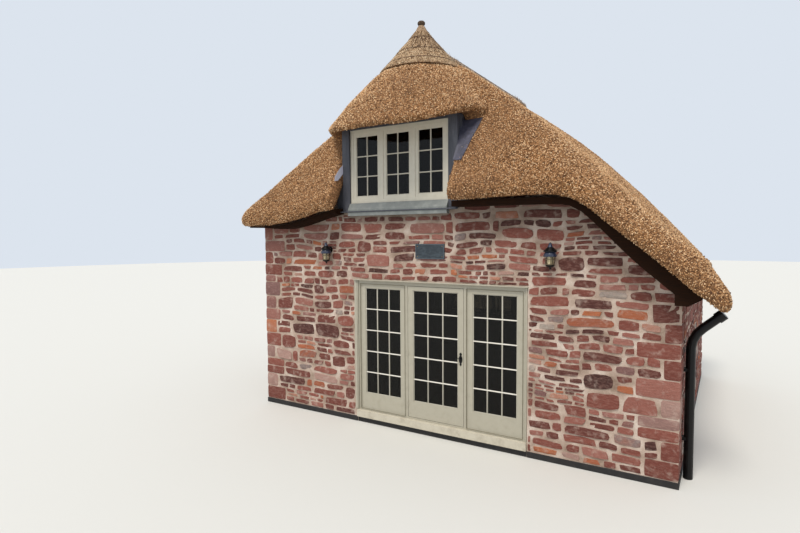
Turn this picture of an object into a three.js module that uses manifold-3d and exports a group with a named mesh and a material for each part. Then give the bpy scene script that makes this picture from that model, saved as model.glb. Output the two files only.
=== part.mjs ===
// A thatched cottage: one room deep, with a glazed garden door, a dormer under a conical hood of
// thatch, a hipped roof that sweeps down low on the right, and rubble walls.
// Millimetres, Z up. The front looks along -Y. The origin is on the underside of the ground floor.
import * as THREE from "three";
import { mergeVertices } from "three/addons/utils/BufferGeometryUtils.js";
import Module from "manifold-3d";

const wasm = await Module();
wasm.setup();

// Driving dimensions
const GAP = 0.3; // between pieces that touch
const WALL = { halfWidth: 3325, halfDepth: 3000, thickness: 450 };
const FLOOR = { thickness: 170, upperBottom: 2430, upperThickness: 200 };
const DOOR = {
  left: -1300,
  width: 2805,
  bottom: 200,
  height: 2100,
  jamb: 60,
  head: 55,
  threshold: 30,
  mullion: 44,
  leafWidth: 923,
  leafDepth: 50,
  frameDepth: 100,
  recess: 12,
  stile: 88,
  glassBottom: 482,
  glassTop: 2180,
  clearance: 6,
};
const DORMER = {
  centre: -530,
  width: 1750,
  bottom: 3520,
  height: 1150,
  post: 140,
  sillBottom: 3380,
  headTop: 4755,
  backY: -1900,
};
const RIDGE = { x: -530, z: 6030, halfLength: 1900, halfWidth: 80, capHeight: 100 };
const EAVE = {
  middle: 3490,
  left: 3190,
  leftFallFrom: -1100,
  leftFallTo: -2900,
  verge: { x: 2475, z: 3220, slope: 0.86 },
  lowest: 2060,
  softness: 130,
  lowSoftness: 90,
  face: 290,
  rearFace: 90,
};
const OUTLINE = {
  left: -3640,
  right: 3520,
  tip: 3815,
  front: -3390,
  back: 3390,
  corner: 320,
  rearCorner: 850,
};
const THATCH = { underInset: 170, ridgeThickness: 450, bulgeRight: 270, bulgeElse: 20, hoodFoot: 60 };
const HOOD = {
  x: -545,
  y: -2200,
  apex: 6430,
  edgeRadius: 1505,
  edgeBottom: 4735,
  capBottom: 5600,
  capThickness: 45,
  droop: { drop: 95, from: -1300, length: 600, height: 350 },
  lip: { drop: 200, depth: 450, brow: 390, height: 600, from: 0.5 },
};
const BOARD = {
  thin: 24,
  thinAt: -3250,
  shallow: 80,
  shallowAt: -2400,
  deep: 215,
  deepFrom: 2000,
  deepAt: 2950,
  projection: 215,
  endX: 3535,
  hiddenEndX: 3475,
  endFrom: 3263,
  endBottom: 2195,
  endTurn: 3400,
  endRise: 0.6,
  play: 6,
};
const PIPE = { radius: 55, x: 3405, y: -2600, bend: 1760, topX: 3728, topZ: 2048, clips: [500, 1350] };
const HINGE = { radius: 7, reach: 28, knuckle: 30, heights: [430, 1225, 2050] };
const BACK_WINDOW = { width: 1750, height: 1150, bottom: 1050, x: 1600 };
const LANTERN = { leftX: -1835, rightX: 1830, top: 2915, reach: 112, radius: 84, glassBottom: 296 };
const PLATE = { x: 35, z: 2770, width: 480, height: 220, thickness: 20 };

const stone = new THREE.Color(0x9a6a62);
const thatchColour = new THREE.Color(0xb08a58);
const paint = new THREE.Color(0xc9c5ac);
const lead = new THREE.Color(0x424a5c);
const darkBoard = new THREE.Color(0x2a1a12);
const blackMetal = new THREE.Color(0x16171a);
const glass = new THREE.Color(0x6d7d83);
const slate = new THREE.Color(0x33383f);
const boards = new THREE.Color(0xa98257);
const concrete = new THREE.Color(0x9b978e);
const brass = new THREE.Color(0xa98b45);

// Solids

/** A three.js geometry as a solid that can be cut and joined. */
function solidOf(geometry) {
  const bare = geometry.index ? geometry.toNonIndexed() : geometry.clone();
  bare.deleteAttribute("normal");
  bare.deleteAttribute("uv");
  const merged = mergeVertices(bare, 1e-3);
  const mesh = new wasm.Mesh({
    numProp: 3,
    vertProperties: merged.attributes.position.array,
    triVerts: new Uint32Array(merged.index.array),
  });
  return new wasm.Manifold(mesh);
}

/** A solid turned back into a geometry. */
function geometryOf(manifold) {
  const mesh = manifold.getMesh();
  const geometry = new THREE.BufferGeometry();
  geometry.setAttribute("position", new THREE.BufferAttribute(mesh.vertProperties, 3));
  geometry.setIndex(new THREE.BufferAttribute(mesh.triVerts, 1));
  const flat = geometry.toNonIndexed();
  flat.computeVertexNormals();
  return flat;
}

function joined(...geometries) {
  return geometryOf(geometries.map(solidOf).reduce((sum, part) => sum.add(part)));
}

function cut(geometry, ...tools) {
  return geometryOf(tools.map(solidOf).reduce((rest, tool) => rest.subtract(tool), solidOf(geometry)));
}

/** A box between two corners. */
function block(x0, x1, y0, y1, z0, z1) {
  const geometry = new THREE.BoxGeometry(x1 - x0, y1 - y0, z1 - z0);
  return geometry.translate((x0 + x1) / 2, (y0 + y1) / 2, (z0 + z1) / 2);
}

/** An outline of [x, z] points extruded between two depths. */
function slabAlongY(points, y0, y1) {
  const shape = new THREE.Shape(points.map(([x, z]) => new THREE.Vector2(x, z)));
  const geometry = new THREE.ExtrudeGeometry(shape, { depth: y1 - y0, bevelEnabled: false, steps: 1 });
  return geometry.rotateX(Math.PI / 2).translate(0, y1, 0);
}

/** An outline of [y, z] points extruded between two x values. */
function slabAlongX(points, x0, x1) {
  const shape = new THREE.Shape(points.map(([y, z]) => new THREE.Vector2(y, z)));
  const geometry = new THREE.ExtrudeGeometry(shape, { depth: x1 - x0, bevelEnabled: false, steps: 1 });
  const turn = new THREE.Matrix4().makeBasis(
    new THREE.Vector3(0, 1, 0),
    new THREE.Vector3(0, 0, 1),
    new THREE.Vector3(1, 0, 0),
  );
  return geometry.applyMatrix4(turn).translate(x0, 0, 0);
}

/**
 * Rings of points with equal counts, skinned and closed with a flat cap at both ends. Each four
 * sided patch is split from its lower ring, so that a surface has one shape going up or down.
 */
function skinned(rings) {
  const positions = [];
  const corner = (point) => positions.push(point.x, point.y, point.z);
  const count = rings[0].length;
  for (let i = 0; i + 1 < rings.length; i++) {
    for (let j = 0; j < count; j++) {
      const next = (j + 1) % count;
      const [a, b, c, d] = [rings[i][j], rings[i][next], rings[i + 1][next], rings[i + 1][j]];
      const halves = a.z <= d.z ? [a, b, c, a, c, d] : [a, b, d, b, c, d];
      halves.forEach(corner);
    }
  }
  for (let j = 1; j + 1 < count; j++) {
    const first = rings[0];
    const last = rings[rings.length - 1];
    [first[0], first[j + 1], first[j]].forEach(corner);
    [last[0], last[j], last[j + 1]].forEach(corner);
  }
  const geometry = new THREE.BufferGeometry();
  geometry.setAttribute("position", new THREE.Float32BufferAttribute(positions, 3));
  return geometry;
}

// Roof form

function smoothStep(t) {
  const s = THREE.MathUtils.clamp(t, 0, 1);
  return s * s * (3 - 2 * s);
}

/** The smaller of two heights, with the corner between them rounded. */
function softMin(a, b, k) {
  return 0.5 * (a + b - Math.sqrt((a - b) ** 2 + k * k));
}

/** Height of the thatch's lower edge, which falls to the left and sweeps down on the right. */
function eaveHeight(x) {
  const fall = smoothStep((EAVE.leftFallFrom - x) / (EAVE.leftFallFrom - EAVE.leftFallTo));
  const level = EAVE.middle - (EAVE.middle - EAVE.left) * fall;
  const verge = EAVE.verge.z - EAVE.verge.slope * (x - EAVE.verge.x);
  const swept = softMin(level, verge, EAVE.softness);
  return -softMin(-swept, -EAVE.lowest, EAVE.lowSoftness);
}

/** The thatch's edge in plan, as a closed run of evenly spaced points. */
function eaveOutline(count) {
  const { left, right, tip, front, back, corner, rearCorner } = OUTLINE;
  const path = new THREE.Path();
  path.moveTo(left + corner, front);
  path.lineTo(tip - 210, front);
  path.quadraticCurveTo(tip + 10, front, tip, front + 180);
  path.bezierCurveTo(tip - 10, front + 800, right, front + 1200, right, front + 2300);
  path.lineTo(right, back - rearCorner);
  path.quadraticCurveTo(right, back, right - rearCorner, back);
  path.lineTo(left + corner, back);
  path.quadraticCurveTo(left, back, left, back - corner);
  path.lineTo(left, front + corner);
  path.quadraticCurveTo(left, front, left + corner, front);
  const points = path.getSpacedPoints(count);
  points.pop();
  return points;
}

/** Where the slope above an edge point meets the ridge. */
function ridgePoint(edge, halfWidth, z) {
  const share = (edge.y - OUTLINE.front) / (OUTLINE.back - OUTLINE.front);
  const y = THREE.MathUtils.lerp(-RIDGE.halfLength, RIDGE.halfLength, share);
  const away = new THREE.Vector2(edge.x - RIDGE.x, edge.y - y).normalize().multiplyScalar(halfWidth);
  return new THREE.Vector3(RIDGE.x + away.x, y + away.y, z);
}

/** A point moved level towards the ridge by a distance. */
function inset(edge, distance) {
  const target = ridgePoint(edge, 0, 0);
  const step = new THREE.Vector2(target.x - edge.x, target.y - edge.y).normalize();
  return new THREE.Vector2(edge.x + step.x * distance, edge.y + step.y * distance);
}

/** A ring on the thatch's underside, whose height depends on x alone. */
function undersideRing(outline, distance, lowered = 0) {
  return outline.map((edge) => {
    const point = inset(edge, distance);
    return new THREE.Vector3(point.x, point.y, eaveHeight(point.x) - lowered);
  });
}

/** A ring on the cut face of the thatch's edge, which is thinner along the rear of the right side. */
function faceRing(outline, distance, share) {
  return outline.map((edge) => {
    const point = inset(edge, distance);
    const rear = smoothStep((edge.x - 2600) / 900) * smoothStep((edge.y + 2900) / 1400);
    const height = THREE.MathUtils.lerp(EAVE.face, EAVE.rearFace, rear);
    return new THREE.Vector3(point.x, point.y, eaveHeight(edge.x) + height * share);
  });
}

/** Rings from one ring up to the ridge, swelling by a bulge on the way. */
function slopeRings(outline, start, halfWidth, top, bulgeShare, steps) {
  const rings = [];
  for (let i = 0; i <= steps; i++) {
    const t = i / steps;
    const ring = outline.map((edge, j) => {
      const side = smoothStep((edge.x - 1500) / 1800);
      const bulge = THREE.MathUtils.lerp(THATCH.bulgeElse, THATCH.bulgeRight, side) * bulgeShare;
      const point = start[j].clone().lerp(ridgePoint(edge, halfWidth, top), t);
      point.z += bulge * Math.sin(Math.PI * t);
      return point;
    });
    rings.push(ring);
  }
  return rings;
}

const OUTLINE_POINTS = 120;
const DEEP = -500; // lower than any part of the walls

const roofOutline = eaveOutline(OUTLINE_POINTS);

/** Rings of the thatch's outside, from its lower edge round the cut face and up to the ridge. */
function outerRings() {
  const start = faceRing(roofOutline, 90, 1);
  return [
    undersideRing(roofOutline, 60),
    faceRing(roofOutline, 8, 0.2),
    faceRing(roofOutline, 0, 0.5),
    faceRing(roofOutline, 30, 0.8),
    ...slopeRings(roofOutline, start, RIDGE.halfWidth, RIDGE.z, 1, 8),
  ];
}

/** Rings of the thatch's inside, from its lower edge up to the ridge. */
function innerRings(lowered) {
  const start = undersideRing(roofOutline, THATCH.underInset, lowered);
  const top = RIDGE.z - THATCH.ridgeThickness - lowered;
  return slopeRings(roofOutline, start, RIDGE.halfWidth, top, 0.5, 5);
}

function atHeight(ring, z) {
  return ring.map((point) => new THREE.Vector3(point.x, point.y, z));
}

/** The thatch as a shell, hollow to its underside. */
function roofShell() {
  return skinned([...innerRings(0).reverse(), ...outerRings()]);
}

/** The whole roof filled in, from the thatch's outer face down past its lower edge. */
function roofBody() {
  const within = undersideRing(roofOutline, 400);
  return skinned([atHeight(within, DEEP + 100), within, ...outerRings()]);
}

/** Everything under the thatch, down past the floor. */
function underRoof(lowered) {
  const rings = innerRings(lowered);
  return skinned([atHeight(rings[0], DEEP), ...rings]);
}

/** Points of the hood's outer face, from its lower edge to the peak, as [radius, height]. */
function hoodFace() {
  const { edgeRadius: r, edgeBottom: z, apex } = HOOD;
  return [
    [r, z + 30],
    [r + 5, z + 60],
    [r - 40, z + 105],
    [r - 305, z + 335],
    [r - 725, z + 755],
    [r - 830, HOOD.capBottom],
    [r - 1015, z + 1065],
    [335, 5990],
    [225, 6110],
    [120, 6250],
    [60, apex - 70],
    [0, apex],
  ];
}

function turned(profile, x, y, z, segments) {
  const points = profile.map(([radius, height]) => new THREE.Vector2(radius, height));
  return new THREE.LatheGeometry(points, segments).rotateX(Math.PI / 2).translate(x, y, z);
}

/** The foot of the hood let down at its left end. */
function drooped(geometry) {
  const { drop, from, length, height } = HOOD.droop;
  const spots = geometry.getAttribute("position");
  for (let i = 0; i < spots.count; i++) {
    const across = smoothStep((from - spots.getX(i)) / length);
    const up = smoothStep((spots.getZ(i) - HOOD.edgeBottom) / height);
    spots.setZ(i, spots.getZ(i) - drop * across * (1 - up));
  }
  return geometry;
}

/** The lip of the hood hung down in front of the dormer. */
function hung(geometry) {
  const { drop, depth, brow, height, from } = HOOD.lip;
  const spots = geometry.getAttribute("position");
  for (let i = 0; i < spots.count; i++) {
    const radius = Math.hypot(spots.getX(i) - HOOD.x, spots.getY(i) - HOOD.y);
    const toFront = (HOOD.y - spots.getY(i)) / Math.max(radius, 1);
    const ahead = smoothStep((toFront - from) / (1 - from));
    const out = smoothStep((radius - HOOD.edgeRadius + depth) / brow);
    const up = smoothStep((spots.getZ(i) - HOOD.edgeBottom) / height);
    spots.setZ(i, spots.getZ(i) - drop * ahead * out * (1 - up));
  }
  return geometry;
}

/** The conical hood over the dormer, solid, without the cap on its peak. */
function hoodBody() {
  const { edgeRadius: r, edgeBottom: z } = HOOD;
  const face = hoodFace().map(([radius, height]) => {
    const under = height >= HOOD.capBottom ? HOOD.capThickness : 0;
    return [Math.max(radius - under, 0), height === HOOD.apex ? height - 2 * under : height];
  });
  const open = face.filter(([radius]) => radius > 20);
  const under = [[0, z], [r - HOOD.lip.depth, z], [r - 60, z]];
  return drooped(hung(turned([...under, ...open, face.at(-1)], HOOD.x, HOOD.y, 0, 64)));
}

function dormerSides() {
  const half = DORMER.width / 2;
  return { left: DORMER.centre - half, right: DORMER.centre + half };
}

/** The space of the dormer from its face back into the loft, or the space in front of it. */
function dormerSpace(front, back, top) {
  const { left, right } = dormerSides();
  const x0 = left - DORMER.post - GAP;
  const x1 = right + DORMER.post + GAP;
  return solidOf(block(x0, x1, front, back, DORMER.sillBottom - 200, top));
}

/** The thatch with the hood worked into it, whose foot ends inside the thatch. */
function thatchRoof() {
  const face = -WALL.halfDepth - 20 - GAP;
  const ahead = dormerSpace(OUTLINE.front - 500, face + 10, HOOD.edgeBottom);
  const inside = dormerSpace(face, DORMER.backY, DORMER.headTop + GAP);
  const hood = solidOf(hoodBody()).subtract(solidOf(underRoof(-THATCH.hoodFoot)));
  return geometryOf(solidOf(roofShell()).subtract(ahead).add(hood).subtract(inside));
}

// Walls and floors

const { halfWidth, halfDepth, thickness } = WALL;
const HIGH = 5000; // above every wall head

function underThatch(geometry) {
  return geometryOf(solidOf(geometry).intersect(solidOf(underRoof(GAP))));
}

function dormerNotch() {
  const { left, right } = dormerSides();
  const side = DORMER.post + GAP;
  return block(left - side, right + side, -halfDepth - 300, -halfDepth + 900, DORMER.sillBottom, HIGH);
}

function frontWallLeft() {
  const body = block(-halfWidth, DOOR.left - GAP, -halfDepth, -halfDepth + thickness, 0, HIGH);
  return cut(underThatch(body), dormerNotch());
}

function frontWallRight() {
  const body = block(DOOR.left + DOOR.width + GAP, halfWidth, -halfDepth, -halfDepth + thickness, 0, HIGH);
  return cut(underThatch(body), dormerNotch());
}

function frontWallHead() {
  const bottom = DOOR.bottom + DOOR.height + GAP;
  const body = block(DOOR.left, DOOR.left + DOOR.width, -halfDepth, -halfDepth + thickness, bottom, HIGH);
  return cut(underThatch(body), dormerNotch());
}

function sideWall(sign) {
  const inner = halfWidth - thickness;
  const ends = halfDepth - thickness - GAP;
  const [x0, x1] = sign < 0 ? [-halfWidth, -inner] : [inner, halfWidth];
  return underThatch(block(x0, x1, -ends, ends, 0, HIGH));
}

function backWall() {
  const body = block(-halfWidth, halfWidth, halfDepth - thickness, halfDepth, 0, HIGH);
  const openings = [-1, 1].map((side) => {
    const { x, width, height, bottom } = BACK_WINDOW;
    const middle = side * x;
    return block(middle - width / 2, middle + width / 2, 0, HIGH, bottom, bottom + height);
  });
  return cut(underThatch(body), ...openings);
}

function groundFloor() {
  const x = halfWidth - thickness - GAP;
  const y = halfDepth - thickness - GAP;
  return block(-x, x, -y, y, 0, FLOOR.thickness);
}

function upperFloor() {
  const x = halfWidth - thickness - GAP;
  const y = halfDepth - thickness - GAP;
  const { upperBottom: z, upperThickness } = FLOOR;
  return underThatch(block(-x, x, -y, y, z, z + upperThickness));
}

// Boards along the eaves

/** Depth of a board: thin at the left corner, then shallow, and deep where the roof sweeps down. */
function boardDepth(x) {
  const thinToShallow = smoothStep((x - BOARD.thinAt) / (BOARD.shallowAt - BOARD.thinAt));
  const upper = THREE.MathUtils.lerp(BOARD.thin, BOARD.shallow, thinToShallow);
  const shallowToDeep = smoothStep((x - BOARD.deepFrom) / (BOARD.deepAt - BOARD.deepFrom));
  return THREE.MathUtils.lerp(upper, BOARD.deep, shallowToDeep);
}

/** Height of a board's bottom, which steps down to a bracket at its low end. */
function boardBottom(x) {
  const z = eaveHeight(x) - BOARD.play - boardDepth(x);
  const bracket = BOARD.endBottom + BOARD.endRise * Math.max(x - BOARD.endTurn, 0);
  return x < BOARD.endFrom ? z : bracket;
}

/** The underside of the thatch and, below it, the bottom of a boxed board, as points over x. */
function boardOutline(x0, x1) {
  const steps = Math.ceil((x1 - x0) / 150);
  const places = [];
  for (let i = 0; i <= steps; i++) {
    places.push(THREE.MathUtils.lerp(x0, x1, i / steps));
  }
  const turns = [BOARD.endFrom - 1, BOARD.endFrom, BOARD.endTurn].filter((x) => x > x0 && x < x1);
  places.push(...turns);
  places.sort((a, b) => a - b);
  const upper = places.map((x) => [x, eaveHeight(x) - BOARD.play]);
  const lower = places.map((x) => [x, boardBottom(x)]);
  return [...lower, ...upper.reverse()];
}

/** A boxed board along the front or back, from one x to another. */
function eaveBoard(x0, x1, y0, y1) {
  return slabAlongY(boardOutline(x0, x1), y0, y1);
}

/** A boxed board along a side wall. */
function sideBoard(sign) {
  const x0 = sign < 0 ? -halfWidth - 150 : halfWidth + GAP;
  const x1 = sign < 0 ? -halfWidth - GAP : BOARD.hiddenEndX;
  return slabAlongY(boardOutline(x0, x1), -halfDepth, halfDepth);
}

// Joinery

/** A rectangle of rails and stiles with a rectangular hole, lying in a wall that faces -Y. */
function sash(x0, x1, z0, z1, glassX0, glassX1, glassZ0, glassZ1, y0, y1) {
  return cut(block(x0, x1, y0, y1, z0, z1), block(glassX0, glassX1, y0 - 10, y1 + 10, glassZ0, glassZ1));
}

const door = {
  front: -halfDepth + DOOR.recess,
  right: DOOR.left + DOOR.width,
  top: DOOR.bottom + DOOR.height,
  leafLeft: DOOR.left + (DOOR.width - DOOR.leafWidth) / 2,
  leafRight: DOOR.left + (DOOR.width + DOOR.leafWidth) / 2,
};

const hinge = { x: door.leafLeft - DOOR.clearance / 2, y: door.front - HINGE.radius };

/** One knuckle of a hinge with its leaf, which lies on the frame to the left or on the door to the right. */
function knuckle(z0, z1, side) {
  const pin = new THREE.CylinderGeometry(HINGE.radius, HINGE.radius, z1 - z0, 16).rotateX(Math.PI / 2);
  const near = side < 0 ? hinge.x - HINGE.reach : hinge.x;
  const far = side < 0 ? hinge.x : hinge.x + HINGE.reach;
  const leaf = block(near, far, door.front - 4, door.front + 2, z0, z1);
  return joined(pin.translate(hinge.x, hinge.y, (z0 + z1) / 2), leaf);
}

/** The middle knuckle of each hinge turns with the door, the outer two stay on the frame. */
function doorKnuckles() {
  const half = HINGE.knuckle / 2;
  return HINGE.heights.map((z) => knuckle(z - half, z + half, 1));
}

function frameKnuckles() {
  const half = HINGE.knuckle / 2 + GAP;
  return HINGE.heights.flatMap((z) => [
    knuckle(z - half - HINGE.knuckle, z - half, -1),
    knuckle(z + half, z + half + HINGE.knuckle, -1),
  ]);
}

function doorFrame() {
  const y0 = door.front;
  const y1 = door.front + DOOR.frameDepth;
  const z0 = DOOR.bottom + GAP;
  const hole = (x0, x1) => block(x0, x1, y0 - 10, y1 + 10, z0 + DOOR.threshold, door.top - DOOR.head);
  const clear = DOOR.clearance;
  const frame = cut(
    block(DOOR.left + GAP, door.right - GAP, y0, y1, z0, door.top - GAP),
    hole(DOOR.left + DOOR.jamb, door.leafLeft - clear - DOOR.mullion),
    hole(door.leafLeft - clear, door.leafRight + clear),
    hole(door.leafRight + clear + DOOR.mullion, door.right - DOOR.jamb),
  );
  return joined(frame, ...frameKnuckles());
}

function sideLight(x0, x1) {
  const z0 = DOOR.bottom + DOOR.threshold + 2 * GAP;
  const z1 = door.top - DOOR.head - GAP;
  const y0 = door.front + 10;
  return sash(
    x0 + GAP, x1 - GAP, z0, z1,
    x0 + DOOR.stile, x1 - DOOR.stile, DOOR.glassBottom, DOOR.glassTop,
    y0, y0 + DOOR.leafDepth,
  );
}

function doorLeaf() {
  const z0 = DOOR.bottom + DOOR.threshold + DOOR.clearance;
  const z1 = door.top - DOOR.head - DOOR.clearance;
  const { leafLeft: x0, leafRight: x1 } = door;
  const leaf = sash(
    x0, x1, z0, z1,
    x0 + DOOR.stile, x1 - DOOR.stile, DOOR.glassBottom, DOOR.glassTop,
    door.front, door.front + DOOR.leafDepth,
  );
  return joined(leaf, ...doorKnuckles());
}

function pane(x0, x1, z0, z1, y) {
  return block(x0 + GAP, x1 - GAP, y, y + 14, z0 + GAP, z1 - GAP);
}

function doorHandle(sign) {
  const x = door.leafRight - DOOR.stile / 2;
  const z = DOOR.bottom + 1000;
  const face = sign < 0 ? door.front - GAP : door.front + DOOR.leafDepth + GAP;
  const out = (near, far) => (sign < 0 ? [face - far, face - near] : [face + near, face + far]);
  const [p0, p1] = out(0, 8);
  const [s0, s1] = out(4, 52);
  const [l0, l1] = out(40, 56);
  const spindle = new THREE.CylinderGeometry(9, 9, s1 - s0, 16).translate(x, (s0 + s1) / 2, z + 30);
  return joined(
    block(x - 22, x + 22, p0, p1, z - 120, z + 110),
    spindle,
    block(x - 120, x + 10, l0, l1, z + 20, z + 40),
  );
}

function doorSill() {
  const y1 = door.front + DOOR.frameDepth;
  return block(DOOR.left + GAP, door.right - GAP, -halfDepth - 45, y1, 90, DOOR.bottom);
}

function doorStep() {
  return block(DOOR.left + GAP, door.right - GAP, -halfDepth, -halfDepth + thickness, 0, 90 - GAP);
}

/** A threshold board behind the frame that closes the gap to the floor. */
function doorBoard() {
  const y0 = door.front + DOOR.frameDepth + GAP;
  return block(DOOR.left + GAP, door.right - GAP, y0, -halfDepth + thickness, 90, DOOR.bottom - 10);
}

/** A frame with three equal casements: the frame with its mullions. */
function windowFrame(x, z, width, height, y0, depth) {
  const bar = 55;
  const light = (width - 4 * bar) / 3;
  const left = x - width / 2;
  const holes = [0, 1, 2].map((i) => {
    const x0 = left + bar + i * (light + bar);
    return block(x0, x0 + light, y0 - 10, y0 + depth + 10, z + bar, z + height - bar);
  });
  return cut(block(left + GAP, left + width - GAP, y0, y0 + depth, z + GAP, z + height - GAP), ...holes);
}

function casement(x, z, width, height, y, index) {
  const bar = 55;
  const rail = 48;
  const light = (width - 4 * bar) / 3;
  const x0 = x - width / 2 + bar + index * (light + bar) + GAP;
  const x1 = x0 + light - 2 * GAP;
  const z0 = z + bar + GAP;
  const z1 = z + height - bar - GAP;
  return {
    sash: sash(x0, x1, z0, z1, x0 + rail, x1 - rail, z0 + rail, z1 - rail, y, y + 45),
    glass: pane(x0 + rail, x1 - rail, z0 + rail, z1 - rail, y + 16),
  };
}

// Dormer

function dormerCheek(sign) {
  const { left, right } = dormerSides();
  const front = -halfDepth - 20;
  const outline = [
    [front, DORMER.sillBottom + GAP],
    [-halfDepth + thickness, DORMER.sillBottom + GAP],
    [DORMER.backY - 250, DORMER.headTop - GAP],
    [front, DORMER.headTop - GAP],
  ];
  return sign < 0
    ? slabAlongX(outline, left - DORMER.post, left - GAP)
    : slabAlongX(outline, right + GAP, right + DORMER.post);
}

function dormerSill() {
  const { left, right } = dormerSides();
  const y0 = -halfDepth - 80;
  const z = DORMER.sillBottom + GAP;
  const profile = [
    [y0, z - 60],
    [-halfDepth - GAP, z - 60],
    [-halfDepth - GAP, z],
    [-halfDepth + 200, z],
    [-halfDepth + 200, DORMER.bottom - GAP],
    [-halfDepth - 20, DORMER.bottom - GAP],
    [y0, z + 40],
  ];
  return slabAlongX(profile, left + GAP, right - GAP);
}

function dormerHead() {
  const { left, right } = dormerSides();
  const z0 = DORMER.bottom + DORMER.height + GAP;
  return block(left + GAP, right - GAP, -halfDepth - 20, -halfDepth + 130, z0, DORMER.headTop - GAP);
}

// Ridge and peak

function ridgeCap() {
  const high = RIDGE.capHeight;
  const profile = [
    [-330, -190],
    [-60, 20],
    [60, 20],
    [330, -190],
    [330, -130],
    [100, high - 25],
    [0, high],
    [-100, high - 25],
    [-330, -130],
  ].map(([x, z]) => [RIDGE.x + x, RIDGE.z + z]);
  const strip = solidOf(slabAlongY(profile, -RIDGE.halfLength + 100, RIDGE.halfLength + 120));
  return geometryOf(strip.subtract(solidOf(roofBody()).translate([0, 0, GAP])).subtract(peakGrown()));
}

/** The cap of the peak as a solid cone, with the body of the hood still in it. */
function peakCone() {
  const face = hoodFace().filter(([, height]) => height >= HOOD.capBottom);
  return turned([[0, HOOD.capBottom], ...face], HOOD.x, HOOD.y, 0, 64);
}

function peakGrown() {
  const cone = peakCone().translate(-HOOD.x, -HOOD.y, 0);
  return solidOf(cone.scale(1.004, 1.004, 1.0005).translate(HOOD.x, HOOD.y, 0));
}

function peakCap() {
  const lift = [0, 0, GAP];
  const under = solidOf(hoodBody()).translate(lift).add(solidOf(roofBody()).translate(lift));
  return geometryOf(solidOf(peakCone()).subtract(under));
}

// Fittings

/** A pipe down the right wall with an offset at its top, a socket under the thatch and two clips. */
function rainPipe() {
  const { radius, x, y, bend, topX, topZ } = PIPE;
  const at = (px, pz) => new THREE.Vector3(px, y, pz);
  const low = bend - 160;
  const along = new THREE.Vector3(topX - x, 0, topZ - bend).normalize();
  const kneeOut = at(x, bend).addScaledVector(along, 160);
  const route = new THREE.CurvePath();
  route.add(new THREE.LineCurve3(at(x, 0), at(x, low)));
  route.add(new THREE.QuadraticBezierCurve3(at(x, low), at(x, bend), kneeOut));
  route.add(new THREE.LineCurve3(kneeOut, at(topX, topZ)));
  const smooth = new THREE.CatmullRomCurve3(route.getSpacedPoints(24), false, "centripetal");
  const round = new THREE.Shape().absarc(0, 0, radius, 0, 2 * Math.PI);
  const tube = new THREE.ExtrudeGeometry(round, {
    steps: 24,
    extrudePath: smooth,
    curveSegments: 8,
    bevelEnabled: false,
  });
  const socket = new THREE.CylinderGeometry(radius + 12, radius + 12, 90, 24);
  const turn = new THREE.Quaternion().setFromUnitVectors(new THREE.Vector3(0, 1, 0), along);
  socket.applyQuaternion(turn).translate(topX - 30 * along.x, y, topZ - 30 * along.z);
  const clips = PIPE.clips.map((z) => block(halfWidth + GAP, x, y - 45, y + 45, z - 20, z + 20));
  return joined(tube, socket, ...clips);
}

/** A wall lantern: round back plate, swan-necked arm, bell cap with a finial, cage rods, base cup. */
function lantern(x) {
  const y = -halfDepth - GAP;
  const { top, reach, radius } = LANTERN;
  const hangY = y - reach;
  const plate = new THREE.CylinderGeometry(50, 50, 16, 24).translate(x, y - 8, top - 130);
  const arm = new THREE.CatmullRomCurve3([
    new THREE.Vector3(x, y - 10, top - 130),
    new THREE.Vector3(x, y - reach * 0.36, top - 145),
    new THREE.Vector3(x, y - reach * 0.72, top - 50),
    new THREE.Vector3(x, hangY, top - 10),
    new THREE.Vector3(x, hangY, top - 80),
  ]);
  const round = new THREE.Shape().absarc(0, 0, 8, 0, 2 * Math.PI);
  const rodShape = { steps: 20, extrudePath: arm, curveSegments: 3, bevelEnabled: false };
  const rod = new THREE.ExtrudeGeometry(round, rodShape);
  const bell = [[0, -130], [radius, -130], [radius, -118], [52, -86], [28, -62], [14, -36], [0, -36]];
  const low = -LANTERN.glassBottom;
  const cup = [[0, -360], [12, -352], [12, -334], [50, -316], [60, low], [0, low]];
  const rods = [0, 1, 2, 3].map((i) => {
    const turn = Math.PI / 4 + (i * Math.PI) / 2;
    const high = LANTERN.glassBottom - 130 + 10;
    const post = new THREE.CylinderGeometry(5, 5, high, 8).rotateX(Math.PI / 2);
    const middle = top - LANTERN.glassBottom - 5 + high / 2;
    return post.translate(x + 54 * Math.cos(turn), hangY + 54 * Math.sin(turn), middle);
  });
  return joined(plate, rod, turned(bell, x, hangY, top, 20), turned(cup, x, hangY, top, 20), ...rods);
}

function lanternGlass(x) {
  const y = -halfDepth - GAP - LANTERN.reach;
  const high = 150;
  const shade = new THREE.CylinderGeometry(42, 42, high, 24).rotateX(Math.PI / 2);
  return shade.translate(x, y, LANTERN.top - LANTERN.glassBottom + GAP + high / 2);
}

// The cottage

const cottage = new THREE.Group();

function add(name, geometry, colour, roughness, metalness = 0) {
  const material = new THREE.MeshStandardMaterial({ color: colour, roughness, metalness });
  const mesh = new THREE.Mesh(geometry, material);
  mesh.name = name;
  cottage.add(mesh);
}

add("ground_floor", groundFloor(), concrete, 0.9);
add("upper_floor", upperFloor(), boards, 0.7);
add("front_wall_left", frontWallLeft(), stone, 0.95);
add("front_wall_right", frontWallRight(), stone, 0.95);
add("front_wall_head", frontWallHead(), stone, 0.95);
add("left_wall", sideWall(-1), stone, 0.95);
add("right_wall", sideWall(1), stone, 0.95);
add("back_wall", backWall(), stone, 0.95);
add("door_step", doorStep(), stone, 0.95);
add("thatch_roof", thatchRoof(), thatchColour, 1);
add("ridge_cap", ridgeCap(), thatchColour, 1);
add("peak_cap", peakCap(), thatchColour, 1);

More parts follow.
